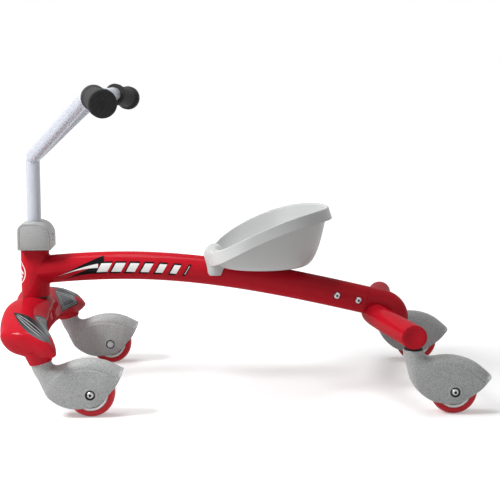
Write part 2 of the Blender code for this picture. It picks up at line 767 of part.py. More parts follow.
def make_swivel(side, pivot):
    """Bush, washer and pin on one rear swivel axis, whose pivot stands at the height of the axle."""
    arm_bottom = ARM_Z - ARM_HALF_HEIGHT
    flange_top = arm_bottom - FIT_GAP
    flange_bottom = flange_top - BUSH_FLANGE
    bore = PIN_RADIUS + FIT_GAP
    top = arm_bottom + BUSH_LENGTH
    bush = turned(side + "_swivel_bush", [(bore, top), (BUSH_RADIUS, top), (BUSH_RADIUS, flange_top),
                                          (0.0135, flange_top), (0.0135, flange_bottom), (bore, flange_bottom)], 16)
    add_part(bush, pivot, ("nylon", BLACK, 0.5, 0.0), (0.0, 0.0, 0.0))
    low = NECK_TOP + FIT_GAP
    high = low + WASHER_THICKNESS
    washer = turned(side + "_thrust_washer", [(bore, high), (0.0150, high), (0.0150, low), (bore, low)], 16)
    add_part(washer, pivot, ("rubber", BLACK, 0.6, 0.0), (0.0, 0.0, 0.0))
    pin_foot = NECK_TOP - PIN_IN_NECK
    pin_head = arm_bottom + PIN_IN_BUSH
    pin = turned(side + "_swivel_pin", [(0.0, pin_head), (PIN_RADIUS - 0.0015, pin_head),
                                        (PIN_RADIUS, pin_head - 0.0015), (PIN_RADIUS, pin_foot), (0.0, pin_foot)],
                 12, closed=False)
    add_part(pin, pivot, ("zinc", STEEL, 0.3, 1.0), (0.0, 0.0, 0.0))


# Fork cowl: a crown under the head tube with a swept wing to each front housing.
# Stations give (share of the half track, overhang, front, rear, top, bottom, middle, front and rear mid height).

COWL_STATIONS = (
    (0.00, 0.000, -0.0270, 0.0270, 0.1240, 0.0620, 0.000, 0.093, 0.090),
    (0.20, 0.000, -0.0360, 0.0262, 0.1232, 0.0620, -0.002, 0.093, 0.088),
    (0.44, 0.000, COWL_FRONT, 0.0285, 0.1195, 0.0600, -0.004, 0.090, 0.080),
    (0.68, 0.000, COWL_FRONT, 0.0370, 0.1155, 0.0580, 0.000, 0.088, 0.074),
    (0.86, 0.000, -0.0370, 0.0475, 0.1110, 0.0570, 0.006, 0.086, 0.070),
    (1.00, 0.000, -0.0300, 0.0555, 0.1045, 0.0570, 0.012, 0.083, 0.068),
    (1.00, 0.015, -0.0200, 0.0590, 0.0965, 0.0575, 0.020, 0.079, 0.067),
    (1.00, 0.026, -0.0060, 0.0590, 0.0870, 0.0590, 0.027, 0.074, 0.067),
    (1.00, 0.031, 0.0120, 0.0540, 0.0770, 0.0620, 0.034, 0.070, 0.067),
)
NECK_SOCKET_RADIUS = 0.0185


def cowl_ring(station, sign):
    share, overhang, front, rear, top, bottom, middle, front_z, rear_z = station
    y = sign * (share * HALF_TRACK + overhang)
    quarters = ((rear, rear_z, top), (front, front_z, top), (front, front_z, bottom), (rear, rear_z, bottom))
    ring = []
    steps = 4
    for index, (end_x, mid_z, end_z) in enumerate(quarters):
        for i in range(steps):
            share_of_turn = i / steps if index % 2 == 0 else 1 - i / steps
            angle = share_of_turn * math.pi / 2
            round_x = abs(math.cos(angle)) ** 0.88
            round_z = abs(math.sin(angle)) ** 0.88
            ring.append(Vector((middle + (end_x - middle) * round_x, y, mid_z + (end_z - mid_z) * round_z)))
    return ring


def neck_axis():
    """Centre of a front housing's neck top and the direction of its neck, seen from the side."""
    top = Vector((-NECK_LEAD, NECK_TOP))
    turn = Matrix.Rotation(FRONT_LEAN, 2)
    return Vector((FRONT_AXLE_X, 0.0)) + turn @ top, turn @ Vector((0.0, 1.0))


def make_cowl():
    left = [cowl_ring(station, -1) for station in reversed(COWL_STATIONS)]
    right = [cowl_ring(station, 1) for station in COWL_STATIONS[1:]]
    cowl = loft("fork_cowl", left + right)
    add_part(cowl, STEERING, ("plastic", RED, 0.16, 0.0))
    place, up = neck_axis()
    for side, sign in SIDES:
        y = sign * HALF_TRACK

        def at(distance):
            point = place + up * distance
            return (point.x, y, point.y)

        join(cowl, cylinder("neck_socket_" + side, NECK_SOCKET_RADIUS, at(0.0005), at(0.028), 20, 0.0165))
        cut(cowl, cylinder("neck_trim_" + side, 0.0300, at(-0.060), at(FIT_GAP), 16))
        cut(cowl, cylinder("fork_pin_hole_" + side, PIN_RADIUS + FIT_GAP, at(-0.01), at(PIN_IN_BUSH), 12))
    seat = HEAD_BOTTOM - BUSH_FLANGE - 2 * FIT_GAP
    cut(cowl, cylinder("crown_seat", 0.0290, (0, 0, seat), (0, 0, seat + 0.02), 24))
    cut(cowl, cylinder("column_bore", COLUMN_RADIUS + FIT_GAP, (0, 0, 0.03), (0, 0, seat + 0.01), 18))
    cut(cowl, cylinder("crown_foot", 0.0240, (0, 0, 0.03), (0, 0, CROWN_FOOT), 18))


CROWN_FOOT = 0.0650


def make_fork_pins():
    place, up = neck_axis()
    for side, sign in SIDES:
        low = place - up * (PIN_IN_NECK - FIT_GAP)
        high = place + up * (PIN_IN_BUSH - FIT_GAP)
        y = sign * HALF_TRACK
        pin = cylinder(side + "_fork_pin", PIN_RADIUS, (low.x, y, low.y), (high.x, y, high.y), 16)
        add_part(pin, STEERING, ("zinc", STEEL, 0.3, 1.0))


def make_column():
    bore = STEM_RADIUS + FIT_GAP
    thread = 0.0043
    floor = STEM_BOTTOM - FIT_GAP
    foot = CROWN_FOOT + FIT_GAP
    column = turned("steering_column", [(bore, COLUMN_TOP), (COLUMN_RADIUS, COLUMN_TOP), (COLUMN_RADIUS, foot),
                                        (thread, foot), (thread, foot + 0.045), (0.0, foot + 0.045)], 18, closed=False)
    extra = column.data
    verts = [(radius, 0.0, height) for radius, height in
             [(0.0, floor), (bore, floor), (bore, COLUMN_TOP), (COLUMN_RADIUS, COLUMN_TOP), (COLUMN_RADIUS, foot),
              (thread, foot), (thread, foot + 0.045), (0.0, foot + 0.045)]]
    extra.clear_geometry()
    extra.from_pydata(verts, [(i, i + 1) for i in range(len(verts) - 1)], [])
    add_part(column, STEERING, ("zinc", STEEL, 0.35, 1.0))
    cut(column, cylinder("stem_bolt_hole_column", STEM_BOLT_RADIUS + FIT_GAP, (-0.05, 0, STEM_BOLT_Z),
                         (0.05, 0, STEM_BOLT_Z), 14), STEERING)
    washer = 0.0024
    top = CROWN_FOOT
    bolt = turned("crown_bolt", [(0.0, foot + 0.040), (0.0040, foot + 0.040), (0.0040, top - FIT_GAP),
                                 (0.0200, top - FIT_GAP), (0.0200, top - washer), (0.0070, top - washer),
                                 (0.0064, top - washer - 0.0042), (0.0, top - washer - 0.0042)], 14, closed=False)
    add_part(bolt, STEERING, ("zinc", STEEL, 0.3, 1.0))


STEM_BOLT_Z = 0.226
STEM_BOLT_RADIUS = 0.0030


def collar_outline(inset):
    front, rear = COLLAR_FRONT + inset, COLLAR_REAR - inset
    bottom = HEAD_TOP + BUSH_FLANGE + 2 * FIT_GAP + inset
    top = bottom + COLLAR_HEIGHT - 2 * inset
    front_round, rear_round = COLLAR_FRONT_ROUND - inset, COLLAR_REAR_ROUND - inset
    return ([(front, bottom)] + arc((front + front_round, top - front_round), front_round, 180, 90, 4)
            + arc((rear - rear_round, top - rear_round), rear_round, 90, 0, 6) + [(rear, bottom)])


def make_collar():
    collar = plate("collar", collar_outline(0.0), -COLLAR_HALF_WIDTH, COLLAR_HALF_WIDTH)
    add_part(collar, STEERING, ("plastic", GREY, 0.45, 0.0))
    bevel = collar.modifiers.new("soft_edges", "BEVEL")
    bevel.width = 0.0016
    bevel.segments = 1
    bevel.limit_method = "ANGLE"
    bevel.angle_limit = math.radians(40)
    bottom = HEAD_TOP
    cut(collar, cylinder("collar_column_bore", COLUMN_RADIUS + FIT_GAP, (0, 0, bottom), (0, 0, COLUMN_TOP + FIT_GAP)),
        STEERING)
    cut(collar, cylinder("collar_stem_bore", STEM_RADIUS + FIT_GAP, (0, 0, bottom), (0, 0, bottom + 0.08)), STEERING)
    for side, sign in SIDES:
        recess = plate("cover_recess_" + side, collar_outline(COLLAR_RIM), *sorted(
            (sign * (COLLAR_HALF_WIDTH - COVER_THICKNESS), sign * (COLLAR_HALF_WIDTH + 0.01))))
        cut(collar, recess, STEERING)
        cover = plate(side + "_collar_cover", collar_outline(COLLAR_RIM + 0.0007), *sorted(
            (sign * (COLLAR_HALF_WIDTH - COVER_THICKNESS + FIT_GAP), sign * (COLLAR_HALF_WIDTH + 0.0002))))
        add_part(cover, STEERING, ("plastic", GREY, 0.45, 0.0))
    rear_seat = COLLAR_REAR - 0.004
    front_seat = COLLAR_FRONT + 0.004
    hole = STEM_BOLT_RADIUS + FIT_GAP
    for name, radius, start, end in (("collar_bolt_hole", hole, -0.05, 0.05),
                                     ("collar_bolt_seat", 0.0068, rear_seat, 0.05),
                                     ("collar_nut_seat", 0.0068, -0.05, front_seat)):
        cut(collar, cylinder(name, radius, (start, 0, STEM_BOLT_Z), (end, 0, STEM_BOLT_Z), 18), STEERING)
    bolt = turned("stem_bolt", [(0.0, rear_seat + 0.0036), (0.0040, rear_seat + 0.0036), (0.0055, rear_seat + 0.002),
                                (0.0055, rear_seat + FIT_GAP), (STEM_BOLT_RADIUS, rear_seat + FIT_GAP),
                                (STEM_BOLT_RADIUS, front_seat - 0.0032), (0.0, front_seat - 0.0032)], 16, closed=False)
    add_part(bolt, STEERING, ("zinc", STEEL, 0.3, 1.0), (0.0, 0.0, STEM_BOLT_Z), (0.0, math.pi / 2, 0.0))
    nut = hex_nut("stem_nut", 0.0058, hole, front_seat - 0.0036, front_seat - FIT_GAP)
    add_part(nut, STEERING, ("zinc", STEEL, 0.3, 1.0), (0.0, 0.0, STEM_BOLT_Z), (0.0, math.pi / 2, 0.0))


# Handlebar: a wishbone whose foot is welded to the stem

WISHBONE_FOOT = (-0.011, 0.352)
WISHBONE_CORNER = (0.099, 0.084, 0.4635)
GRIP_START = (0.1225, 0.4670)
GRIP_END = (0.1460, 0.4580)


def make_handlebar():
    def side(sign):
        corner_x, corner_y, corner_z = WISHBONE_CORNER
        end_y = GRIP_END_Y - GRIP_WALL - FIT_GAP
        share = (end_y - GRIP_START_Y) / (GRIP_END_Y - GRIP_START_Y)
        end = (mix(GRIP_START[0], GRIP_END[0], share), sign * end_y, mix(GRIP_START[1], GRIP_END[1], share))
        return [(end, 0.0), ((GRIP_START[0], sign * GRIP_START_Y, GRIP_START[1]), 0.080),
                ((corner_x, sign * corner_y, corner_z), 0.036)]
    foot = [((WISHBONE_FOOT[0], 0.0, WISHBONE_FOOT[1]), 0.016)]
    path = rounded_path(side(-1) + foot + list(reversed(side(1))), 4)
    bar = tube("handlebar", path, BAR_RADIUS, 4)
    add_part(bar, STEERING, ("chrome_paint", SILVER, 0.30, 0.9))
    join(bar, cylinder("stem_form", STEM_RADIUS, (0, 0, STEM_BOTTOM), (0, 0, WISHBONE_FOOT[1] + 0.008), 18), STEERING)
    cut(bar, cylinder("stem_hollow", STEM_RADIUS - 0.002, (0, 0, STEM_BOTTOM - 0.01), (0, 0, COLUMN_TOP + 0.03), 16),
        STEERING)
    cut(bar, cylinder("stem_bolt_hole", STEM_BOLT_RADIUS + FIT_GAP, (-0.05, 0, STEM_BOLT_Z), (0.05, 0, STEM_BOLT_Z), 14),
        STEERING)


def make_grips():
    start = Vector((GRIP_START[0], GRIP_START_Y, GRIP_START[1]))
    end = Vector((GRIP_END[0], GRIP_END_Y, GRIP_END[1]))
    length = (end - start).length
    bore = BAR_RADIUS + FIT_GAP
    setback = 0.004
    for side, sign in SIDES:
        profile = [(0.0, length), (0.0012, length), (0.0016, length - 0.0012), (GRIP_END_RADIUS - 0.003, length - 0.0002),
                   (GRIP_END_RADIUS, length - 0.003), (GRIP_END_RADIUS, length - 0.011),
                   (GRIP_RADIUS - 0.001, length - 0.016), (GRIP_RADIUS - 0.001, 0.014 + setback),
                   (GRIP_RADIUS + 0.001, 0.010 + setback), (GRIP_RADIUS + 0.001, 0.002 + setback),
                   (GRIP_RADIUS - 0.0008, setback), (bore, setback), (bore, length - GRIP_WALL),
                   (0.0, length - GRIP_WALL)]
        grip = turned(side + "_grip", profile, 20, closed=False)
        place = Vector((start.x, sign * start.y, start.z))
        way = Vector((end.x - start.x, sign * (end.y - start.y), end.z - start.z))
        add_part(grip, STEERING, ("foam", BLACK, 0.8, 0.0), place, way.to_track_quat("Z", "Y").to_euler())


# Seat

def rim_point(angle, outset=0.0, lower=0.0):
    """A point of the seat's rim, or of an outline round it, at an angle seen from above."""
    back = math.cos(angle) > 0
    reach = (SEAT_REAR - SEAT_MIDDLE) if back else (SEAT_MIDDLE - SEAT_FRONT)
    power = 1.0 if back else 2 / 2.6
    x = SEAT_MIDDLE + math.copysign(abs(math.cos(angle)) ** power, math.cos(angle)) * (reach + outset)
    y = math.copysign(abs(math.sin(angle)) ** power, math.sin(angle)) * (SEAT_HALF_WIDTH + outset)
    along = min(max((SEAT_REAR - x) / (SEAT_REAR - SEAT_FRONT), 0.0), 1.0)
    return Vector((x, y, SEAT_RIM_Z - SEAT_RIM_DROP * along ** 1.8 - lower))


def floor_point(angle, height, reach_x, reach_y):
    middle = (SEAT_FRONT + SEAT_REAR) / 2 - 0.012
    return Vector((middle + math.cos(angle) * reach_x, math.sin(angle) * reach_y, height))


def wall_point(low, high, share):
    """A point of the tub's wall, which curves up from its floor at share 0 to its edge at share 1."""
    spread = share ** 0.34 if share > 0 else 0.0
    return Vector((mix(low.x, high.x, spread), mix(low.y, high.y, spread), mix(low.z, high.z, share)))


def under_band(angle, outset):
    """The lower edge of the band that hangs from the rim."""
    rim = rim_point(angle, outset)
    return Vector((rim.x, rim.y, max(rim.z - SEAT_BAND, SEAT_BOTTOM_Z + 0.006)))


def make_seat():
    count = 28
    angles = [2 * math.pi * i / count for i in range(count)]
    rings = []
    for share in (0.0, 0.06, 0.22, 0.55, 1.0):
        rings.append([wall_point(floor_point(a, SEAT_BOTTOM_Z, 0.064, 0.056), under_band(a, -0.004), share)
                      for a in angles])
    rings.append([under_band(a, SEAT_BAND_FLARE) for a in angles])
    rings.append([rim_point(a, 0.0012, 0.0022) for a in angles])
    rings.append([rim_point(a, -0.0008) for a in angles])
    rings.append([rim_point(a, -SEAT_WALL, 0.0008) for a in angles])
    for share in (0.72, 0.40, 0.15, 0.0):
        rings.append([wall_point(floor_point(a, SEAT_FLOOR_Z, 0.050, 0.043), rim_point(a, -SEAT_WALL - 0.002), share)
                      for a in angles])
    seat = loft("seat_shell", rings)
    add_part(seat, SEAT_PIVOT, ("plastic", (0.50, 0.51, 0.50), 0.4, 0.0))
    seat.data.transform(Matrix.Translation(-SEAT_PIVOT.location))
    join(seat, make_seat_nose())
    cut(seat, make_seat_channel())
    x = SEAT_BOLT_X
    cut(seat, cylinder("seat_bolt_hole", SEAT_BOLT_RADIUS + FIT_GAP, (x, 0, SEAT_BOTTOM_Z - 0.03), (x, 0, 0.25), 16))
    cut(seat, cylinder("seat_bolt_seat", 0.0115, (x, 0, seat_bolt_seat()), (x, 0, 0.25), 24))


def channel_height(x):
    """The highest place of the tube's centre line, as the seat's own frame sees it while it slides."""
    way = slide_direction()
    shifts = [SEAT_TRAVEL * i / 4 for i in range(5)]
    return max(arch_height(x + way.x * shift) - way.z * shift for shift in shifts)


def make_seat_channel():
    """The room under the seat for the tube, at every place of its slide."""
    radius = FRAME_RADIUS + SLIDE_GAP
    rings = []
    for i in range(8):
        x = mix(SEAT_FRONT - 0.040, SEAT_REAR + 0.020, i / 7)
        ring = [Vector((x, y, channel_height(x) + z)) for y, z in arc((0.0, 0.0), radius, 0, 180, 13)]
        ring += [Vector((x, -radius, channel_height(x) - 0.060)), Vector((x, radius, channel_height(x) - 0.060))]
        rings.append(ring)
    return loft("seat_channel", rings)


def point_under_band(angle, inset):
    rim = rim_point(angle, -inset)
    return Vector((rim.x, rim.y, max(rim.z - SEAT_BAND, SEAT_BOTTOM_Z + 0.012)))


def seat_bolt_seat():
    return SEAT_FLOOR_Z - 0.0030


def make_seat_nose():
    """The horn at the front of the seat, which straddles the tube."""
    low = arch_height(SEAT_FRONT) - 0.0035
    rings = []
    for height, reach, half, back in ((0.0, 0.0165, 0.029, 0.022), (0.006, 0.0190, 0.031, 0.023),
                                      (0.030, 0.0190, 0.031, 0.026), (0.042, 0.0155, 0.027, 0.019),
                                      (0.049, 0.0070, 0.018, 0.009)):
        ring = []
        count = 20
        for i in range(count):
            angle = 2 * math.pi * (i + 0.5) / count
            x = math.cos(angle) * (back if math.cos(angle) > 0 else reach)
            ring.append(Vector((SEAT_FRONT + 0.003 + x, math.sin(angle) * half, low + height)))
        rings.append(ring)
    return loft("seat_nose", rings)


def make_seat_fixing():
    x = SEAT_BOLT_X
    seat = seat_bolt_seat() + FIT_GAP
    way = slide_direction()
    plate_top = arch_height(x) + FRAME_RADIUS - FRAME_WALL - 0.0034
    bolt_end = plate_top - 0.010
    bolt = turned("seat_bolt", [(0.0, seat + 0.0035), (0.0080, seat + 0.0035), (0.0105, seat + 0.0016), (0.0105, seat),
                                (SEAT_BOLT_RADIUS, seat), (SEAT_BOLT_RADIUS, bolt_end), (0.0, bolt_end)], 20, closed=False)
    pivot = SEAT_PIVOT.location
    bolt.data.transform(Matrix.Translation((0, 0, -pivot.z)))
    add_part(bolt, SEAT_PIVOT, ("zinc", STEEL, 0.3, 1.0), (0.0, 0.0, 0.0))
    half_length, half_width, thickness = 0.018, 0.0085, 0.005
    bm = bmesh.new()
    bmesh.ops.create_cube(bm, size=1.0)
    bmesh.ops.scale(bm, vec=(2 * half_length, 2 * half_width, thickness), verts=bm.verts)
    bmesh.ops.bevel(bm, geom=[edge for edge in bm.edges], offset=0.0006, segments=1, affect="EDGES")
    clamp = object_from_bmesh("seat_clamp_plate", bm)
    slope = math.atan2(-way.z, way.x)
    clamp.data.transform(Matrix.Translation((0, 0, plate_top - thickness / 2 - pivot.z)) @ Matrix.Rotation(slope, 4, "Y"))
    add_part(clamp, SEAT_PIVOT, ("zinc", STEEL, 0.4, 1.0), (0.0, 0.0, 0.0))
    cut(clamp, cylinder("clamp_hole", SEAT_BOLT_RADIUS + FIT_GAP, (x, 0, plate_top - 0.03), (x, 0, plate_top + 0.03), 16))


# Pivots of everything that moves

STEERING = make_pivot("steering_axis", (0.0, 0.0, 0.0))
SEAT_PIVOT = make_pivot("seat_slide", (SEAT_BOLT_X, 0.0, arch_height(SEAT_BOLT_X) + FRAME_RADIUS))


def build():
    make_main_frame()
    make_yoke()
    make_yoke_caps()
    make_yoke_bolts()
    make_head_bushes()
    make_cowl()
    make_fork_pins()
    make_column()
    make_collar()
    make_handlebar()
    make_grips()
    make_seat()
    make_seat_fixing()
    housing_mesh = make_housing_mesh()
    tyre, hub = make_wheel_meshes()
    bolt, nut = make_axle_meshes()
    forms = (tyre, hub, make_bearing_form(), bolt, nut)
    for side, sign in SIDES:
        front = make_pivot(side + "_front_axle", (FRONT_AXLE_X, sign * HALF_TRACK, 0.0), STEERING)
        make_corner(side + "_front", sign, front, housing_mesh, forms, FRONT_LEAN)
        swivel = make_pivot(side + "_swivel", (SWIVEL_X, sign * HALF_TRACK, 0.0))
        rear = make_pivot(side + "_rear_axle", (NECK_LEAD, 0.0, 0.0), swivel)
        make_corner(side + "_rear", sign, rear, housing_mesh, forms, 0.0)
        make_swivel(side, swivel)
    for form in forms:
        add_cutter(form)


build()
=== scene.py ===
import json
import math

import bmesh
import bpy
from mathutils import Matrix, Vector

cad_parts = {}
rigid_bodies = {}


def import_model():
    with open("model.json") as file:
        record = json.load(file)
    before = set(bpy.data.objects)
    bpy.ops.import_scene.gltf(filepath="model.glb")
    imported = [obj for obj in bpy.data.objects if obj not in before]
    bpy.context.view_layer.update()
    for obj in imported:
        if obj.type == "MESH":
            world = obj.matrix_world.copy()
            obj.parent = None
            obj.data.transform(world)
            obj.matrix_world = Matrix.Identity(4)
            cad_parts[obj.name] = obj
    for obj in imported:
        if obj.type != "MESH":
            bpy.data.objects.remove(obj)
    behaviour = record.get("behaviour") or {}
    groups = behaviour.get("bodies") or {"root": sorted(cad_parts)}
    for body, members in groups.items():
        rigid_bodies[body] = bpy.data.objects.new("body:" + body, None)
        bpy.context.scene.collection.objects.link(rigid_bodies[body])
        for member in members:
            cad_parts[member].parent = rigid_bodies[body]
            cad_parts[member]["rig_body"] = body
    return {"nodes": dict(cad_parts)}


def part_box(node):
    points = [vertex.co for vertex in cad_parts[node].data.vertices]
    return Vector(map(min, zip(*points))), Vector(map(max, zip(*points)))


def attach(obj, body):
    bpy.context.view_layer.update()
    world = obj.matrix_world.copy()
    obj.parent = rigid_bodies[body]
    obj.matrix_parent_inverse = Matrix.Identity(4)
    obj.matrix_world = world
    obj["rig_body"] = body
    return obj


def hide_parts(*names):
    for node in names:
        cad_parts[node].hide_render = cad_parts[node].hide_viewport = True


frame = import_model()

bl_info = {
    "name": "Wiggle car",
    "version": (1, 0, 0),
    "blender": (4, 5, 0),
    "location": "View3D > Sidebar > Wiggle car",
    "description": "Builds the looks of a four-wheeled wiggle car round its packed frame",
    "category": "Add Mesh",
}

# Places are written rearwards from the steering axis and up from the axles of the wheels, in metres, as
# the part's own source gives them. SHIFT moves a finished mesh from there to the frame. ACROSS turns what
# was made about Z so that it lies about Y. A tool that cuts runs on past the body that it cuts.


def middle(node, axis):
    low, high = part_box(node)
    return round((low[axis] + high[axis]) / 2, 5)


SHIFT = Matrix.Translation((middle("steering_column", 0), 0.0, middle("left_front_tyre", 2)))
ACROSS = Matrix.Rotation(math.pi / 2, 4, "X")
SIDES = (("left", -1), ("right", 1))
CORNERS = tuple((side, sign, end) for side, sign in SIDES for end in ("front", "rear"))

MERGE_DISTANCE = 0.000002
FIT_GAP = 0.0003
SLIDE_GAP = 0.0010

WHEEL_RADIUS = 0.038
WHEEL_WIDTH = 0.024
HALF_TRACK = 0.170
FRONT_AXLE_X = 0.112
REAR_AXLE_X = 0.691
TAIL_REACH = 0.0590

FRAME_RADIUS = 0.024
FRAME_WALL = 0.0025
FRAME_FRONT_Z = 0.168
ARCH_TOP = (0.150, 0.176)
SEAM = (0.570, 0.1131)
REAR_SLOPE = -0.235
HEAD_BORE = 0.020
HEAD_BOTTOM = 0.1246
HEAD_TOP = 0.2050
HEAD_EDGE = 0.0007
YOKE_BOLT_SETBACKS = (0.014, 0.051)
YOKE_BOLT_HOLE_RADIUS = 0.0033
BOLT_SEAT_Y = FRAME_RADIUS - 0.0014
BOLT_SEAT_RADIUS = 0.0072

ARM_Z = 0.0901
ARM_SIZE = (0.0205, 0.0195)
ARM_SLOPE = 0.2355
ARM_BEND = 0.030
ARM_END_Y = 0.189
ARM_MIDDLE_X = 0.619
ELBOW_RUN = 0.033
ELBOW_BEND = 0.026
ELBOW_FOOT_DROP = 0.021
CAP_THICKNESS = 0.003
CAP_ROUNDING = 0.0016
CAP_DISH_INSETS = (0.0065, 0.0073)
CAP_DISH_DEPTH = 0.0004

NECK_RADIUS = 0.0165
NECK_TOP = 0.066
NECK_LEAD = 0.065
PIN_IN_NECK = 0.025
PIN_RADIUS = 0.005
CROWN_DEPTH = 0.016
CHEEK_STEP = 0.0016
CHEEK_EDGE = 0.0025
HOUSING_HALF_WIDTH = 0.0195
BOSS_Y = HOUSING_HALF_WIDTH + 0.0008
BOSS_RADIUS = 0.0125
BOLT_RECESS_RADIUS = 0.0078
BOLT_RECESS_RIM = 0.0007
AXLE_HOLE_RADIUS = 0.0040
BOLT_SEAT = BOSS_Y - 0.0035
FRONT_LEAN = math.radians(13.5)
HUB_RADIUS = 0.0274
BEARING_RADIUS = 0.011

STEM_RADIUS = 0.012
COLUMN_BORE = 0.0153
COLUMN_TOP = 0.243
STEM_BOLT_Z = 0.226
STEM_BOLT_DEPTH = 0.004
COLLAR = {"front": -0.024, "rear": 0.031, "bottom": 0.2073, "top": 0.2538, "half": 0.035}
BAR_RADIUS = 0.0125
WISHBONE_FOOT = (-0.011, 0.352)
WISHBONE_CORNER = (0.099, 0.084, 0.4635)
GRIP_START = Vector((0.1225, 0.172, 0.4670))
GRIP_END = Vector((0.1460, 0.250, 0.4580))
GRIP_RADIUS = 0.019
GRIP_END_RADIUS = 0.0221
GRIP_FLOOR = 0.0035

SEAT_FRONT = 0.305
SEAT_MIDDLE = 0.385
SEAT_REAR = 0.504
SEAT_HALF_WIDTH = 0.109
SEAT_RIM_Z = 0.278
SEAT_RIM_DROP = 0.075
SEAT_BOTTOM_Z = 0.175
SEAT_WALL = 0.0038
SEAT_BAND = 0.020
SEAT_BAND_FLARE = 0.007
SEAT_FLOOR_Z = 0.192
SEAT_BOLT_X = 0.400
SEAT_SHANK_RADIUS = 0.0040
SEAT_TRAVEL = 0.064


# Sizes and colours that a user may change

def colour(label, value, text):
    return bpy.props.FloatVectorProperty(name=label, description=text, default=value, size=3,
                                         min=0.0, max=1.0, subtype="COLOR")


def length(label, value, text):
    return bpy.props.FloatProperty(name=label, description=text, default=value, min=0.0,
                                   unit="LENGTH", precision=4)


class WiggleColours(bpy.types.PropertyGroup):
    paint: colour("Paint", (0.44, 0.008, 0.018), "Powder coat of the tube frame")
    moulding: colour("Red moulding", (0.43, 0.008, 0.018), "Fork cowl and yoke caps")
    tyre: colour("Tyre", (0.53, 0.008, 0.018), "Cast urethane of the tyres")
    housing: colour("Housing", (0.345, 0.352, 0.350), "Wheel housings and handlebar collar")
    seat: colour("Seat", (0.47, 0.48, 0.475), "Seat moulding")
    bar: colour("Bar", (0.50, 0.52, 0.575), "Handlebar paint")
    hub: colour("Hub", (0.80, 0.80, 0.79), "Wheel hubs")
    panel: colour("Panel", (0.055, 0.06, 0.062), "Inset panels of the fork cowl")


class WiggleSizes(bpy.types.PropertyGroup):
    bead: length("Weld bead", 0.0017, "Radius of the weld beads on the frame")
    stripe: length("Stripe height", 0.021, "Height of the stripes on the main tube")
    grain: length("Moulding grain", 0.0011, "Grain of the grey mouldings")
    ribs: bpy.props.IntProperty(name="Hub ribs", description="Ribs on each face of a hub",
                                default=9, min=3)
    floor: length("Floor", 30.0, "Side of the floor under the toy")


def chosen():
    scene = bpy.context.scene
    return scene.wiggle_sizes, scene.wiggle_colours


# Filled by the first operator and used by the pieces

MATERIALS = {}
TREES = {}


# Meshes

def temporary(name, mesh):
    obj = bpy.data.objects.new(name, mesh)
    bpy.context.scene.collection.objects.link(obj)
    return obj


def discard(*objects):
    for obj in objects:
        bpy.data.objects.remove(obj, do_unlink=True)


def closed(bm):
    """Merge doubles and turn all faces outwards."""
    bmesh.ops.remove_doubles(bm, verts=bm.verts, dist=MERGE_DISTANCE)
    bmesh.ops.recalc_face_normals(bm, faces=bm.faces)
    return bm


def solid(name, bm):
    mesh = bpy.data.meshes.new(name)
    closed(bm).to_mesh(mesh)
    bm.free()
    return temporary(name, mesh)


def skin(name, rows, wrap=False):
    """A body through rows of points, with a flat face at each end unless its last row meets its first."""
    bm = bmesh.new()
    rows = [[bm.verts.new(point) for point in row] for row in rows]
    count = len(rows[0])
    for first, second in zip(rows, rows[1:] + (rows[:1] if wrap else [])):
        for i in range(count):
            j = (i + 1) % count
            bm.faces.new((first[i], first[j], second[j], second[i]))
    if not wrap:
        bm.faces.new(rows[0])
        bm.faces.new(list(reversed(rows[-1])))
    return solid(name, bm)


def mix(a, b, share):
    return a + (b - a) * share


def arc(centre, radius, start, end, steps):
    """Points of an arc in the X-Z plane, with its angles in degrees."""
    angles = [math.radians(mix(start, end, i / steps)) for i in range(steps + 1)]
    return [(centre[0] + radius * math.cos(a), centre[1] + radius * math.sin(a)) for a in angles]


def between(a, b, c, d, t):
    """A place from b to c on the smooth curve through four numbers or points."""
    return 0.5 * (2 * b + (c - a) * t + (2 * a - 5 * b + 4 * c - d) * t * t
                  + (3 * b - a - 3 * c + d) * t ** 3)


def smooth_rows(rows, steps):
    """Finer rows through coarse rows of as many points each."""
    finer = []
    for k in range(len(rows) - 1):
        b, c = rows[k], rows[k + 1]
        a = rows[k - 1] if k else [2 * p - q for p, q in zip(b, c)]
        d = rows[k + 2] if k + 2 < len(rows) else [2 * q - p for p, q in zip(b, c)]
        for i in range(steps):
            finer.append([between(*four, i / steps) for four in zip(a, b, c, d)])
    finer.append(list(rows[-1]))
    return finer


def closed_curve(points, steps):
    """A smooth closed curve through points, with a number of steps from each to the next."""
    curve = []
    for k in range(len(points)):
        four = [points[(k + shift) % len(points)] for shift in (-1, 0, 1, 2)]
        curve += [between(*four, i / steps) for i in range(steps)]
    return curve


def lathe(name, profile, sides=64):
    """A body turned about local Z from a closed profile of (radius, height)."""
    bm = bmesh.new()
    rows = []
    for radius, height in profile:
        if radius < 1e-7:
            rows.append([bm.verts.new((0.0, 0.0, height))])
        else:
            rows.append([bm.verts.new((radius * math.cos(2 * math.pi * i / sides),
                                       radius * math.sin(2 * math.pi * i / sides), height))
                         for i in range(sides)])
    for first, second in zip(rows, rows[1:] + rows[:1]):
        if len(first) == 1 and len(second) == 1:
            continue
        for i in range(sides):
            j = i + 1
            corners = [first[i % len(first)], first[j % len(first)],
                       second[j % len(second)], second[i % len(second)]]
            bm.faces.new(list(dict.fromkeys(corners)))
    return solid(name, bm)


def plate(name, outline, low, high):
    """A flat outline of (x, z) points given a thickness across Y."""
    bm = bmesh.new()
    near = [bm.verts.new((x, low, z)) for x, z in outline]
    far = [bm.verts.new((x, high, z)) for x, z in outline]
    bm.faces.new(near)
    bm.faces.new(list(reversed(far)))
    for i in range(len(outline)):
        j = (i + 1) % len(outline)
        bm.faces.new((near[i], near[j], far[j], far[i]))
    return solid(name, bm)


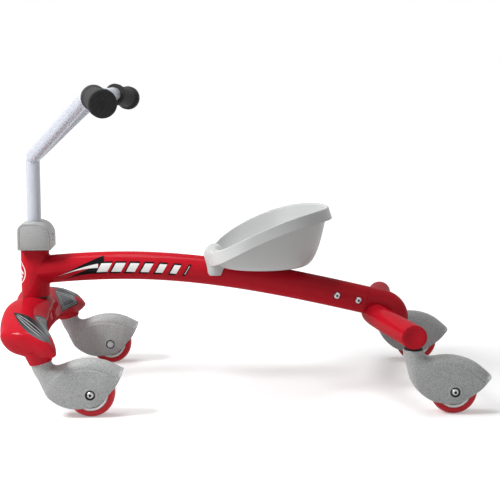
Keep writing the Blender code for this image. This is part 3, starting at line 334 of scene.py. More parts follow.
def bar(name, radius, start, end, sides=48, end_radius=None):
    """A round bar or a cone frustum between two points."""
    start, end = Vector(start), Vector(end)
    reach = (end - start).length
    last = radius if end_radius is None else end_radius
    obj = lathe(name, [(0.0, 0.0), (radius, 0.0), (last, reach), (0.0, reach)], sides)
    turn = (end - start).to_track_quat("Z", "Y").to_matrix().to_4x4()
    obj.data.transform(Matrix.Translation(start) @ turn)
    return obj


def rounded(corners, steps=5, wrap=False):
    """Points along straight runs whose corners, given as (point, radius), are rounded."""
    places = [Vector(place) for place, _ in corners]
    count = len(places)
    points = []
    for i, (_, radius) in enumerate(corners):
        here = places[i]
        if radius <= 0.0 or (not wrap and i in (0, count - 1)):
            points.append(here)
            continue
        back = (places[i - 1] - here).normalized()
        ahead = (places[(i + 1) % count] - here).normalized()
        half = back.angle(ahead) / 2
        centre = here + (back + ahead).normalized() * radius / math.sin(half)
        arm = here + back * radius / math.tan(half) - centre
        axis = arm.cross(-back).normalized()
        sweep = math.pi - 2 * half
        points += [centre + Matrix.Rotation(sweep * k / steps, 3, axis) @ arm for k in range(steps + 1)]
    return points


def turned_profile(corners, steps=5):
    """A profile for the lathe from corners given as (radius, height, rounding)."""
    points = rounded([((r, 0.0, z), rounding) for r, z, rounding in corners], steps, wrap=True)
    return [(max(point.x, 0.0), point.z) for point in points]


def both_faces(side):
    """A closed profile from one half of it, mirrored in its heights."""
    return side + [(corner[0], -corner[1], *corner[2:]) for corner in reversed(side)]


def combine(base, *steps):
    """Join and cut with tools in order, given as ("UNION" or "DIFFERENCE", tool)."""
    for operation, tool in steps:
        modifier = base.modifiers.new(tool.name, "BOOLEAN")
        modifier.operation = operation
        modifier.solver = "EXACT"
        modifier.object = tool
    apply_modifiers(base)
    discard(*(tool for _, tool in steps))
    return base


def apply_modifiers(obj):
    bpy.context.view_layer.update()
    mesh = bpy.data.meshes.new_from_object(obj.evaluated_get(bpy.context.evaluated_depsgraph_get()))
    obj.modifiers.clear()
    obj.data = mesh
    return obj


def add_bodies(obj, *others):
    """Put the meshes of other temporary objects in one object."""
    bm = bmesh.new()
    for part in (obj, *others):
        bm.from_mesh(part.data)
    bm.to_mesh(obj.data)
    bm.free()
    discard(*others)
    return obj


def finished(obj, name, material, nodes, matrix=Matrix.Identity(4), sharp=38):
    """Take a temporary object to its place in the frame, and let it stand for its CAD nodes."""
    mesh = obj.data.copy()
    discard(obj)
    mesh.transform(SHIFT @ matrix)
    bm = bmesh.new()
    bm.from_mesh(mesh)
    closed(bm).to_mesh(mesh)
    bm.free()
    mesh.shade_smooth()
    mesh.set_sharp_from_angle(angle=math.radians(sharp))
    mesh.materials.clear()
    mesh.materials.append(material)
    piece = temporary(name, mesh)
    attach(piece, frame["nodes"][nodes[0]]["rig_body"])
    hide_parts(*nodes)
    return piece


def paint_shade_where(obj, test):
    """Give a mesh the attribute shade, 1 at the vertices that pass a test and 0 elsewhere; the finishes paint
    shade where it is 1.
    """
    shade = obj.data.attributes.new("shade", "FLOAT", "POINT")
    for vertex in obj.data.vertices:
        shade.data[vertex.index].value = 1.0 if test(vertex.co) else 0.0


def duplicate(obj):
    return temporary(obj.name, obj.data.copy())


SLOT_NODES = {
    "frame_paint": ("main_frame", "rear_yoke"),
    "silver_paint": ("handlebar",),
    "red_plastic": ("fork_cowl", "left_yoke_cap", "right_yoke_cap"),
    "seat_plastic": ("seat_shell",),
    "black_nylon": ("upper_head_bush", "lower_head_bush", "left_swivel_bush", "right_swivel_bush"),
    "black_rubber": ("left_grip", "right_grip", "left_thrust_washer", "right_thrust_washer"),
    "grey_plastic": ("collar", "left_collar_cover", "right_collar_cover"),
}
SLOT_ENDINGS = {"_wheel_housing": "grey_plastic", "_tyre": "red_urethane", "_hub": "white_nylon"}
SLOTS = {node: slot for slot, nodes in SLOT_NODES.items() for node in nodes}
for name in frame["nodes"]:
    for ending, slot in SLOT_ENDINGS.items():
        if name.endswith(ending):
            SLOTS[name] = slot
    SLOTS.setdefault(name, "zinc_steel")


# Geometry Nodes

def new_node(tree, kind, settings=None, values=None):
    """A node with its settings, and with its inputs set to values or linked to sockets."""
    node = tree.nodes.new(kind)
    for key, value in (settings or {}).items():
        setattr(node, key, value)
    for key, value in (values or {}).items():
        if isinstance(value, bpy.types.NodeSocket):
            tree.links.new(value, node.inputs[key])
        else:
            node.inputs[key].default_value = value
    return node


class Growth:
    """A Geometry Nodes tree with named inputs, built one node at a time."""

    def __init__(self, name, inputs):
        self.tree = bpy.data.node_groups.new(name, "GeometryNodeTree")
        self.tree.interface.new_socket("Geometry", in_out="INPUT", socket_type="NodeSocketGeometry")
        for label, kind in inputs:
            self.tree.interface.new_socket(label, in_out="INPUT", socket_type="NodeSocket" + kind)
        self.tree.interface.new_socket("Geometry", in_out="OUTPUT", socket_type="NodeSocketGeometry")
        self.start = self.tree.nodes.new("NodeGroupInput")

    def given(self, label):
        return self.start.outputs[label]

    def node(self, kind, settings=None, values=None, output=0):
        return new_node(self.tree, kind, settings, values).outputs[output]

    def end(self, geometry):
        real = self.node("GeometryNodeRealizeInstances", None, {"Geometry": geometry})
        dressed = self.node("GeometryNodeSetMaterial", None,
                            {"Geometry": real, "Material": self.given("Material")})
        self.tree.links.new(dressed, self.tree.nodes.new("NodeGroupOutput").inputs[0])
        return self

    def run(self, obj, values):
        """Grow the tree on an object and leave it with a plain mesh."""
        modifier = obj.modifiers.new(self.tree.name, "NODES")
        modifier.node_group = self.tree
        for item in self.tree.interface.items_tree:
            if item.in_out == "INPUT" and item.name in values:
                modifier[item.identifier] = values[item.name]
        obj.update_tag()
        return apply_modifiers(obj)


def tube_growth():
    """A round tube that follows a path of edges."""
    grow = Growth("tube_on_path", (("Radius", "Float"), ("Sides", "Int"), ("Material", "Material")))
    path = grow.node("GeometryNodeMeshToCurve", None, {"Mesh": grow.given("Geometry")})
    ring = grow.node("GeometryNodeCurvePrimitiveCircle", None,
                     {"Resolution": grow.given("Sides"), "Radius": grow.given("Radius")})
    swept = grow.node("GeometryNodeCurveToMesh", None,
                      {"Curve": path, "Profile Curve": ring, "Fill Caps": True})
    return grow.end(swept)


def spoke_growth():
    """Copies of a shape set round the Y axis."""
    grow = Growth("set_round_axle", (("Count", "Int"), ("Material", "Material")))
    count = grow.given("Count")
    spots = grow.node("GeometryNodeMeshLine", {"mode": "OFFSET"},
                      {"Count": count, "Offset": (0.0, 0.0, 0.0)})
    index = grow.node("GeometryNodeInputIndex")
    whole = grow.node("ShaderNodeMath", {"operation": "DIVIDE"}, {0: 2 * math.pi, 1: count})
    angle = grow.node("ShaderNodeMath", {"operation": "MULTIPLY"}, {0: index, 1: whole})
    turn = grow.node("ShaderNodeCombineXYZ", None, {"Y": angle})
    copies = grow.node("GeometryNodeInstanceOnPoints", None,
                       {"Points": spots, "Instance": grow.given("Geometry"), "Rotation": turn})
    return grow.end(copies)


def screw_growth():
    """A screw head at each point of the geometry, turned by the point's own attribute."""
    grow = Growth("screw_heads", (("Head", "Object"), ("Material", "Material")))
    head = grow.node("GeometryNodeObjectInfo", None, {"Object": grow.given("Head")}, "Geometry")
    turn = grow.node("GeometryNodeInputNamedAttribute", {"data_type": "FLOAT_VECTOR"}, {"Name": "turn"})
    copies = grow.node("GeometryNodeInstanceOnPoints", None,
                       {"Points": grow.given("Geometry"), "Instance": head, "Rotation": turn})
    return grow.end(copies)


def swept(name, points, radius, sides=64):
    """A round tube along points, through the tube tree."""
    mesh = bpy.data.meshes.new(name)
    mesh.from_pydata([tuple(point) for point in points], [(i, i + 1) for i in range(len(points) - 1)], [])
    obj = TREES["tube"].run(temporary(name, mesh), {"Radius": radius, "Sides": sides})
    bm = bmesh.new()
    bm.from_mesh(obj.data)
    closed(bm).to_mesh(obj.data)
    bm.free()
    return obj


def bead(name, points, radii, sides=10):
    """A weld bead along a closed run of points, with a radius for each."""
    rows = []
    count = len(points)
    for i, point in enumerate(points):
        ahead = (points[(i + 1) % count] - points[i - 1]).normalized()
        out = (point - sum(points, Vector()) / count).normalized()
        side = ahead.cross(out).normalized()
        out = side.cross(ahead)
        rows.append([point + (out * math.cos(2 * math.pi * k / sides)
                              + side * math.sin(2 * math.pi * k / sides)) * max(radii[i], 0.0001)
                     for k in range(sides)])
    return skin(name, rows, wrap=True)


# Shader maths

class Wire:
    """A shader socket on which sums are written as Python."""

    def __init__(self, finish, socket):
        self.finish = finish
        self.socket = socket

    def math(self, operation, other=0.0, flipped=False, clamp=False):
        pair = (other, self) if flipped else (self, other)
        return self.finish.node("ShaderNodeMath", {"operation": operation, "use_clamp": clamp},
                                {0: pair[0], 1: pair[1]})

    def __add__(self, other):
        return self.math("ADD", other)

    def __sub__(self, other):
        return self.math("SUBTRACT", other)

    def __rsub__(self, other):
        return self.math("SUBTRACT", other, flipped=True)

    def __mul__(self, other):
        return self.math("MULTIPLY", other)

    def __truediv__(self, other):
        return self.math("DIVIDE", other)

    def __pow__(self, other):
        return self.math("POWER", other)

    __radd__ = __add__
    __rmul__ = __mul__

    def clamped(self):
        """This, held between 0 and 1."""
        return self.math("ADD", 0.0, clamp=True)

    def over(self, limit, softness=0.0002):
        """1 where this is more than the limit and 0 where it is less."""
        return ((self - limit) / softness + 0.5).clamped()

    def under(self, limit, softness=0.0002):
        """1 where this is less than the limit and 0 where it is more."""
        return ((limit - self) / softness + 0.5).clamped()

    def near(self, value, half, softness):
        """1 where this is within half a width of the value and 0 elsewhere."""
        return (self - value).size().under(half, softness)

    def part(self):
        """What stays after the decimal point."""
        return self.math("FRACT")

    def size(self):
        return self.math("ABSOLUTE")

    def root(self):
        return self.math("SQRT")

    def or_more(self, other):
        return self.math("MAXIMUM", other)

    def or_less(self, other):
        return self.math("MINIMUM", other)


class Finish:
    """A material whose nodes are made by one method."""

    def __init__(self, name, **constants):
        self.material = bpy.data.materials.new(name)
        self.material.use_nodes = True
        self.tree = self.material.node_tree
        self.shader = self.tree.nodes["Principled BSDF"]
        for key, value in constants.items():
            self.shader.inputs[key.replace("_", " ")].default_value = value
        self.spot = self.node("ShaderNodeTexCoord", output="Object")

    def node(self, kind, settings=None, values=None, output=0):
        plain = {key: value.socket if isinstance(value, Wire) else value
                 for key, value in (values or {}).items()}
        return Wire(self, new_node(self.tree, kind, settings, plain).outputs[output])

    def axes(self):
        """The three coordinates, rearwards from the steering axis and up from the axles."""
        split = self.node("ShaderNodeSeparateXYZ", None, {0: self.spot})
        x, y, z = (Wire(self, socket) for socket in split.socket.node.outputs)
        return x - SHIFT.translation.x, y, z - SHIFT.translation.z

    def attribute(self, name):
        return self.node("ShaderNodeAttribute", {"attribute_name": name}, output="Fac")

    def noise(self, size, detail=2.0, stretch=None):
        """Noise from 0 to 1 whose grains are about as large as the size."""
        values = {"Scale": 1.0 / size, "Detail": detail}
        values["Vector"] = self.spot if stretch is None else self.node(
            "ShaderNodeMapping", None, {"Vector": self.spot, "Scale": stretch})
        return self.node("ShaderNodeTexNoise", None, values, "Fac")

    def blend(self, share, first, second):
        """A colour between two, by a share that may vary."""
        return self.node("ShaderNodeMix", {"data_type": "RGBA"}, {0: share, 6: first, 7: second}, 2)

    def feed(self, socket, wire):
        self.tree.links.new(wire.socket, self.shader.inputs[socket])

    def bump(self, height, distance, strength=1.0, rounding=0.0):
        values = {"Height": height, "Distance": distance, "Strength": strength}
        if rounding:
            values["Normal"] = self.node("ShaderNodeBevel", {"samples": 4}, {"Radius": rounding})
        self.feed("Normal", self.node("ShaderNodeBump", None, values))


def rgba(tint, share=1.0):
    return (*[min(channel * share, 1.0) for channel in tint], 1.0)


def speckle(finish, tint, amount, size):
    """A colour varied by fine noise."""
    ramp = finish.node("ShaderNodeValToRGB", None, {"Fac": finish.noise(size, 3.0)})
    stops = ramp.socket.node.color_ramp.elements
    for stop, place, share in zip(stops, (0.30, 0.70), (1 - amount, 1 + amount)):
        stop.position, stop.color = place, rgba(tint, share)
    return ramp


def gloss_paint(name, tint):
    """A red coat whose gloss is kept low, so that a white room doesn't turn it pink."""
    finish = Finish(name, Specular_IOR_Level=0.0, Coat_Weight=0.13, Coat_Roughness=0.08)
    finish.feed("Base Color", speckle(finish, tint, 0.035, 0.018))
    finish.feed("Roughness", 0.20 + 0.09 * finish.noise(0.006))
    finish.bump(finish.noise(0.0016, 1.0), 0.00006, 0.5, rounding=0.0004)
    return finish


def plain_plastic(name, tint, roughness, grain, amount, height, with_painted_shade=False):
    """A moulded plastic with an even grain, with painted shade where the mesh has the attribute shade."""
    finish = Finish(name, Specular_IOR_Level=0.25)
    fine = finish.noise(grain, 3.0)
    coarse = finish.noise(grain * 9.0, 2.0)
    ground = speckle(finish, tint, amount, grain)
    if with_painted_shade:
        # Painted shade: the colour falls to 0.12 of the tint where the attribute shade is set.
        ground = finish.blend(finish.attribute("shade"), ground, rgba(tint, 0.12))
    finish.feed("Base Color", ground)
    finish.feed("Roughness", roughness - 0.06 + 0.12 * coarse)
    finish.bump(fine + 0.5 * coarse, height, 0.6, rounding=0.0006)
    return finish


def metal(name, tint, roughness, grain):
    """A plated metal with painted shade, nearly black where the mesh has the attribute shade, as in a screw's
    socket.
    """
    finish = Finish(name, Metallic=1.0)
    streaks = finish.noise(grain, 3.0, stretch=(1.0, 4.0, 1.0))
    plating = speckle(finish, tint, 0.06, grain * 3)
    # Painted shade: the colour falls to 0.05 of the tint where the attribute shade is set.
    finish.feed("Base Color", finish.blend(finish.attribute("shade"), plating, rgba(tint, 0.05)))
    finish.feed("Roughness", roughness - 0.08 + 0.18 * streaks)
    finish.bump(streaks, 0.00003, 0.4, rounding=0.0003)
    return finish


def silver_paint(name, tint):
    """A smooth metallic paint with a very fine flake."""
    finish = Finish(name, Metallic=0.25, Specular_IOR_Level=0.35)
    finish.feed("Base Color", speckle(finish, tint, 0.012, 0.012))
    finish.feed("Roughness", 0.28 + 0.08 * finish.noise(0.010))
    return finish


def black_foam(name):
    finish = Finish(name, IOR=1.4)
    cells = finish.node("ShaderNodeTexVoronoi", None, {"Vector": finish.spot, "Scale": 900.0}, "Distance")
    finish.feed("Base Color", speckle(finish, (0.014, 0.014, 0.015), 0.35, 0.002))
    finish.feed("Roughness", 0.74 + 0.16 * finish.noise(0.004))
    finish.bump(cells, 0.00025, 0.7)
    return finish


# Stripes on the front of the main tube. A blade has the places along the tube of its tip and its end, the
# heights of both over the tube's centre line, half its depth at the end, and four times its rise between.
# The gap before a bar is a share of the pitch, which grows from the first of BAR_GAPS by the second. The
# head tube's front has a ring round slanted bars.

STRIPE_BLACK = (0.006, 0.006, 0.007)
STRIPE_WHITE = (0.82, 0.82, 0.81)
BLACK_BLADES = ((0.028, 0.120, -0.019, 0.0135, 0.0065, 0.012), (0.046, 0.108, -0.020, -0.003, 0.0070, 0.006))
WHITE_BLADE = (0.040, 0.110, -0.012, 0.0035, 0.0035, 0.010)
BARS_START = 0.106
BARS_END = 0.262
BAR_PITCH = 0.0235
BAR_SLANT = 0.55
BAR_GAPS = (0.22, 0.38)
BAR_RIM = 0.10
RING_Z = 0.1658
RING_RADII = (0.0186, 0.0203)
MOTIF_RADIUS = 0.0150
MOTIF_HALF = 0.0117
MOTIF_PITCH = 0.0080
MOTIF_SLANT = 0.45


def arch_fit():
    """Height of the tube's centre line as a + b x + c x x, through three places of the striped run."""
    xs = (0.04, 0.15, 0.27)
    rows = [[1.0, x, x * x] for x in xs]
    return Matrix(rows).inverted() @ Vector([arch_height(x) for x in xs])


def striped_paint(name, tint):
    """Gloss paint with blades and slanted bars on both sides of the main tube and a ring at its head."""
    sizes, _ = chosen()
    finish = gloss_paint(name, tint)
    x, y, z = finish.axes()
    a, b, c = arch_fit()
    up = z - (a + (b + c * x) * x)

    def blade(tip, end, tip_up, end_up, depth, bow):
        """A pointed stripe that widens from its tip and bows upwards."""
        share = (x - tip) / (end - tip)
        centre = tip_up + (end_up - tip_up) * share + share * (1.0 - share) * bow
        room = depth * share * share ** 0.5
        return ((up - centre).size() - room).under(0.0) * x.over(tip) * x.under(end)

    slant = x - up * BAR_SLANT
    beat = ((slant - BARS_START) / BAR_PITCH).part()
    gap = BAR_GAPS[0] + (slant - BARS_START) / (BARS_END - BARS_START) * BAR_GAPS[1]
    bars = beat.over(gap, 0.012) * slant.over(BARS_START) * slant.under(BARS_END)
    bars = bars * up.size().under(sizes.stripe * 0.36)
    rims = (beat - gap + BAR_RIM).over(0.0, 0.012) * up.size().under(sizes.stripe / 2)
    rims = rims * slant.over(BARS_START - 0.0015) * slant.under(BARS_END + 0.002)
    on_side = y.size().over(0.006, 0.001) * x.over(FRAME_RADIUS + 0.003)
    black = rims.or_more(blade(*BLACK_BLADES[0])).or_more(blade(*BLACK_BLADES[1])) * on_side

    around = y.math("ARCTAN2", x * -1.0) * (FRAME_RADIUS / 1.15)
    rise = z - RING_Z
    reach = (around * around + rise * rise).root()
    ring = reach.over(RING_RADII[0]) * reach.under(RING_RADII[1])
    across = rise - around * MOTIF_SLANT
    motif = (across / MOTIF_PITCH).part().over(0.46, 0.03) * reach.under(MOTIF_RADIUS)
    motif = motif * across.size().under(MOTIF_HALF)
    emblem = ring.or_more(motif) * x.under(FRAME_RADIUS * 0.6)
    white = (bars.or_more(blade(*WHITE_BLADE)) * on_side).or_more(emblem)
    dark = finish.blend(black, speckle(finish, tint, 0.035, 0.018), rgba(STRIPE_BLACK))
    finish.feed("Base Color", finish.blend(white, dark, rgba(STRIPE_WHITE)))
    return finish


# Inset panels of the cowl, drawn in X and Z on planes that lean by LEAF_LEAN for each metre outwards. The
# outer side of each wing has a leaf where two circles of (x, z, radius) cross, and the inner side a panel
# with four corners. The attributes outwards and inwards say how squarely a place faces each of them.

LEAF_LEAN = (0.182, 0.224)
LEAF_TIPS = ((-0.0390, 0.0926), (0.0180, 0.0423))
LEAF_CIRCLES = ((-0.0425, 0.0312, 0.0615), (0.0320, 0.1155, 0.0745))
LEAF_LINES = (-0.0035, 0.0005, 0.0050)
PANEL_CORNERS = ((0.0480, 0.0960), (0.0815, 0.1116), (0.0720, 0.1290), (0.0340, 0.1385))
PANEL_LINES = (0.0030, 0.0060)
PANEL_DEPTH = 0.022
PALE_LINE = (0.62, 0.63, 0.64)


def from_line(across, up, start, end):
    """How far along a line a place lies, as a share of it, and how far to its left."""
    run = math.dist(start, end)
    way_x, way_z = (end[0] - start[0]) / run, (end[1] - start[1]) / run
    x, z = across - start[0], up - start[1]
    return (x * way_x + z * way_z) / run, z * way_x - x * way_z


def panelled_plastic(name, tint, panel):
    """Polished red moulding whose leaf panels are dark and streaked."""
    finish = Finish(name, Specular_IOR_Level=0.0, Coat_Weight=0.16, Coat_Roughness=0.06)
    x, y, z = finish.axes()
    lean_x, lean_z = (y.size() * lean for lean in LEAF_LEAN)
    outwards = finish.attribute("outwards").over(0.05, 0.02)
    inwards = finish.attribute("inwards").over(0.12, 0.02)

    across, up = x - lean_x, z - lean_z
    depths = []
    for centre_x, centre_z, radius in LEAF_CIRCLES:
        off_x, off_z = across - centre_x, up - centre_z
        depths.append(radius - (off_x * off_x + off_z * off_z).root())
    outer = depths[0].or_less(depths[1])
    along, left = from_line(across, up, *LEAF_TIPS)
    bow = along * (1.0 - along) * 4.0
    lines = []
    for rise in LEAF_LINES:
        lines.append(left.near(bow * rise, 0.0004, 0.0006) * along.over(0.12, 0.1) * along.under(0.80, 0.2)
                     * outwards)

    across, up = x + lean_x, z + lean_z
    depths = [from_line(across, up, *pair)[1]
              for pair in zip(PANEL_CORNERS, PANEL_CORNERS[1:] + PANEL_CORNERS[:1])]
    inner = depths[0].or_less(depths[1]).or_less(depths[2]).or_less(depths[3])
    lines += [inner.near(depth, 0.0003, 0.0005) * inwards for depth in PANEL_LINES]

    pale = lines[0]
    for line in lines[1:]:
        pale = pale.or_more(line)
    leaf = (outer.over(0.0, 0.0003) * outwards).or_more(inner.over(0.0, 0.0003) * inwards)
    fade = (along ** 1.6 * outwards + inner / PANEL_DEPTH * inwards).clamped()
    dull = finish.blend(fade, rgba(panel, 0.4), rgba(panel, 3.0))
    streaked = finish.blend(pale * 0.7, dull, rgba(PALE_LINE))
    finish.feed("Base Color", finish.blend(leaf, speckle(finish, tint, 0.03, 0.02), streaked))
    finish.feed("Roughness", 0.14 + 0.05 * finish.noise(0.008) + 0.10 * leaf)
    edge = (outer.near(0.0, 0.0009, 0.0008) * outwards).or_more(inner.near(0.0, 0.0009, 0.0008) * inwards)
    finish.bump(edge * -1.0, 0.0007, 0.8, rounding=0.0006)
    return finish


def make_finishes():
    sizes, tints = chosen()
    near_black = (0.012, 0.012, 0.012)
    finishes = {
        "paint": gloss_paint("gloss_red_coat", tints.paint),
        "striped": striped_paint("striped_red_coat", tints.paint),
        "moulding": gloss_paint("polished_red_moulding", tints.moulding),
        "panelled": panelled_plastic("panelled_red_moulding", tints.moulding, tints.panel),
        # The grey moulding takes painted shade in its marked recesses.
        "grey": plain_plastic("grained_grey_moulding", tints.housing, 0.42, sizes.grain, 0.45, 0.00020,
                              with_painted_shade=True),
        "seat": plain_plastic("satin_grey_moulding", tints.seat, 0.34, 0.0009, 0.05, 0.00005),
        "tyre": plain_plastic("cast_red_urethane", tints.tyre, 0.30, 0.0030, 0.05, 0.00004),
        "hub": plain_plastic("white_nylon", tints.hub, 0.40, 0.0020, 0.03, 0.00004),
        "nylon": plain_plastic("black_nylon", near_black, 0.45, 0.0015, 0.2, 0.00004),
        "foam": black_foam("black_foam"),
        "zinc": metal("bright_zinc", (0.46, 0.46, 0.48), 0.30, 0.0012),
        "silver": silver_paint("silver_coat", tints.bar),
    }
    MATERIALS.update({key: finish.material for key, finish in finishes.items()})


def make_trees():
    TREES["tube"] = tube_growth()
    TREES["spokes"] = spoke_growth()
    TREES["screws"] = screw_growth()


# Frame

def arch_height(x):
    """Height of the tube's centre line, two Bezier spans and a straight run past the seam."""
    if x > SEAM[0]:
        return SEAM[1] + REAR_SLOPE * (x - SEAM[0])
    top = Vector(ARCH_TOP)
    if x <= ARCH_TOP[0]:
        reach = ARCH_TOP[0] / 3
        first = Vector((0.0, FRAME_FRONT_Z))
        rise = Vector((reach, 0.6 * (ARCH_TOP[1] - FRAME_FRONT_Z)))
        span = (first, first + rise, top - Vector((reach, 0.0)), top)
    else:
        reach = (SEAM[0] - ARCH_TOP[0]) / 3
        last = Vector(SEAM)
        span = (top, top + Vector((reach, 0.0)), last - Vector((reach, REAR_SLOPE * reach)), last)
    share = min(max((x - span[0].x) / (span[3].x - span[0].x), 0.0), 1.0)
    for _ in range(12):
        rest = 1 - share
        here = (span[0].x * rest ** 3 + span[1].x * 3 * rest ** 2 * share
                + span[2].x * 3 * rest * share ** 2 + span[3].x * share ** 3)
        share += (x - here) / (span[3].x - span[0].x)
    rest = 1 - share
    return (span[0].y * rest ** 3 + span[1].y * 3 * rest ** 2 * share
            + span[2].y * 3 * rest * share ** 2 + span[3].y * share ** 3)


def arch_points(start, end, steps):
    xs = [mix(start, end, i / steps) for i in range(steps + 1)]
    return [Vector((x, 0.0, arch_height(x))) for x in xs]


def slide_direction():
    end = SEAT_BOLT_X + SEAT_TRAVEL
    return Vector((SEAT_TRAVEL, 0.0, arch_height(end) - arch_height(SEAT_BOLT_X))).normalized()


def bolt_seat_cutter(name, x):
    """A hole through the tube, with a flat seat on either side for the bolt's head and its nut."""
    outer = FRAME_RADIUS + 0.01
    side = [(0.0, outer), (BOLT_SEAT_RADIUS, outer), (BOLT_SEAT_RADIUS, BOLT_SEAT_Y),
            (YOKE_BOLT_HOLE_RADIUS, BOLT_SEAT_Y)]
    tool = lathe(name, both_faces(side), 40)
    tool.data.transform(Matrix.Translation((x, 0.0, arch_height(x))) @ ACROSS)
    return tool


def make_main_frame():
    sizes, _ = chosen()
    tube = swept("main_tube", arch_points(0.004, SEAM[0], 90), FRAME_RADIUS)
    outline = [(0.0, HEAD_BOTTOM, 0), (FRAME_RADIUS, HEAD_BOTTOM, HEAD_EDGE),
               (FRAME_RADIUS, HEAD_TOP, HEAD_EDGE), (0.0, HEAD_TOP, 0)]
    head = lathe("head_tube", turned_profile(outline, 3), 72)
    slot_half = SEAT_SHANK_RADIUS + 2 * FIT_GAP
    start, end = SEAT_BOLT_X - slot_half, SEAT_BOLT_X + slide_direction().x * SEAT_TRAVEL + slot_half
    low = min(arch_height(start), arch_height(end))
    slot = plate("seat_slot", [(start, low), (end, low), (end, low + 0.05), (start, low + 0.05)],
                 -slot_half, slot_half)
    hollow = swept("tube_bore", arch_points(FRAME_RADIUS + 0.001, SEAM[0] + 0.012, 40),
                   FRAME_RADIUS - FRAME_WALL, 40)
    steps = [("UNION", head), ("DIFFERENCE", bar("head_bore", HEAD_BORE, (0, 0, 0.1), (0, 0, 0.22), 56)),
             ("DIFFERENCE", hollow), ("DIFFERENCE", slot)]
    steps += [("DIFFERENCE", bolt_seat_cutter("bolt_seat", SEAM[0] - back)) for back in YOKE_BOLT_SETBACKS]
    combine(tube, *steps)
    add_bodies(tube, head_weld(sizes.bead))
    finished(tube, "main_frame_tube", MATERIALS["striped"], ["main_frame"])


def head_weld(size, count=96):
    """The bead where the main tube meets the head tube."""
    points, radii = [], []
    for i in range(count):
        turn = 2 * math.pi * (i + 0.5) / count
        reach = FRAME_RADIUS * abs(math.cos(turn))
        points.append(Vector((reach, FRAME_RADIUS * math.sin(turn),
                              arch_height(reach) + FRAME_RADIUS * math.cos(turn))))
        radii.append(size * abs(math.cos(turn)) ** 0.7 * (1 + 0.05 * math.sin(24 * turn)))
    return bead("head_weld", points, radii)


def arm_x(y):
    """Where the middle of the cross arms lies, which run rearwards from a bend at the centre."""
    end = math.hypot(HALF_TRACK, ARM_BEND) - ARM_BEND
    return ARM_MIDDLE_X + ARM_SLOPE * (math.hypot(y, ARM_BEND) - ARM_BEND - end)


def arm_ring(y, shrink=0.0, sides=56, at=None):
    """A section of the cross arms at one Y, set at another Y where one is given."""
    place = y if at is None else at
    wide, high = ARM_SIZE[0] - shrink, ARM_SIZE[1] - shrink
    turns = [2 * math.pi * i / sides for i in range(sides)]
    return [Vector((arm_x(y) + wide * math.cos(a), place, ARM_Z + high * math.sin(a))) for a in turns]


def elbow_points():
    """The way of the elbow from the main tube's end down into the cross arms."""
    seam = Vector((SEAM[0], 0.0, SEAM[1]))
    way = Vector((1.0, 0.0, REAR_SLOPE)).normalized()
    turn = math.pi / 2 - math.atan(-REAR_SLOPE)
    start = seam + way * ELBOW_RUN
    centre = start + Vector((way.z, 0.0, -way.x)) * ELBOW_BEND
    points = [seam + way * FIT_GAP]
    points += [centre + Matrix.Rotation(turn * i / 22, 3, "Y") @ (start - centre) for i in range(23)]
    foot = points[-1].copy()
    foot.z = ARM_Z - ELBOW_FOOT_DROP
    return points + [foot]


def arm_weld(size, sign, post, count=72):
    """The bead where a cross arm meets the elbow, whose lower end stands at the given X."""
    points, radii = [], []
    for i in range(count):
        turn = 2 * math.pi * (i + 0.5) / count
        y = 0.0
        for _ in range(20):
            x = arm_x(y) + ARM_SIZE[0] * math.cos(turn)
            y = math.sqrt(max(FRAME_RADIUS ** 2 - (x - post) ** 2, 0.0))
        points.append(Vector((x, sign * y, ARM_Z + ARM_SIZE[1] * math.sin(turn))))
        radii.append(size * 0.8 * min(1.0, y / 0.012))
    return bead("arm_weld", points, radii)


def make_yoke():
    sizes, _ = chosen()
    path = elbow_points()
    elbow = swept("elbow", path, FRAME_RADIUS)
    count = 64
    arms = skin("arms", [arm_ring(mix(-ARM_END_Y, ARM_END_Y, i / count)) for i in range(count + 1)])
    spigot = swept("spigot", arch_points(SEAM[0] - 0.09, SEAM[0] + 0.01, 12),
                   FRAME_RADIUS - FRAME_WALL - FIT_GAP, 48)
    combine(elbow, ("UNION", arms), ("UNION", spigot))
    add_bodies(elbow, *(arm_weld(sizes.bead, sign, path[-1].x) for sign in (-1, 1)))
    finished(elbow, "rear_yoke_weldment", MATERIALS["paint"], ["rear_yoke"])


def make_caps():
    """The end caps of the cross arms, with rounded edges and a shallow dish."""
    for side, sign in SIDES:
        low = ARM_END_Y + FIT_GAP
        high = low + CAP_THICKNESS
        sections = [(0.0, low)]
        for i in range(6):
            turn = math.radians(90 * i / 5)
            sections.append((CAP_ROUNDING * (1 - math.cos(turn)), high - CAP_ROUNDING * (1 - math.sin(turn))))
        sections += [(CAP_DISH_INSETS[0], high), (CAP_DISH_INSETS[1], high - CAP_DISH_DEPTH)]
        cap = skin(side + "_cap", [arm_ring(ARM_END_Y, inset, 72, sign * y) for inset, y in sections])
        finished(cap, side + "_arm_cap", MATERIALS["moulding"], [side + "_yoke_cap"], sharp=50)


# Fasteners

AXLE_SCREW = {"radius": 0.0060, "height": 0.0042, "socket": 0.0027}
AXLE_NUT = {"corner": 0.0066, "bore": 0.0040, "height": 0.0046}
AXLE_SHANK_RADIUS = 0.0037
AXLE_THREAD_PAST_NUT = 0.0009
CROSS_SCREW = {"radius": 0.0055, "height": 0.0036, "socket": 0.0023}
CROSS_NUT = {"corner": 0.0057, "bore": 0.0033, "height": 0.0040}
STEM_SCREW = {"radius": 0.0055, "height": 0.0033, "socket": 0.0023}
STEM_NUT = {"corner": 0.0058, "bore": 0.0033, "height": 0.0033}
THIN_SHANK_RADIUS = 0.0030
SEAT_SCREW = {"radius": 0.0105, "height": 0.0035, "socket": 0.0036}


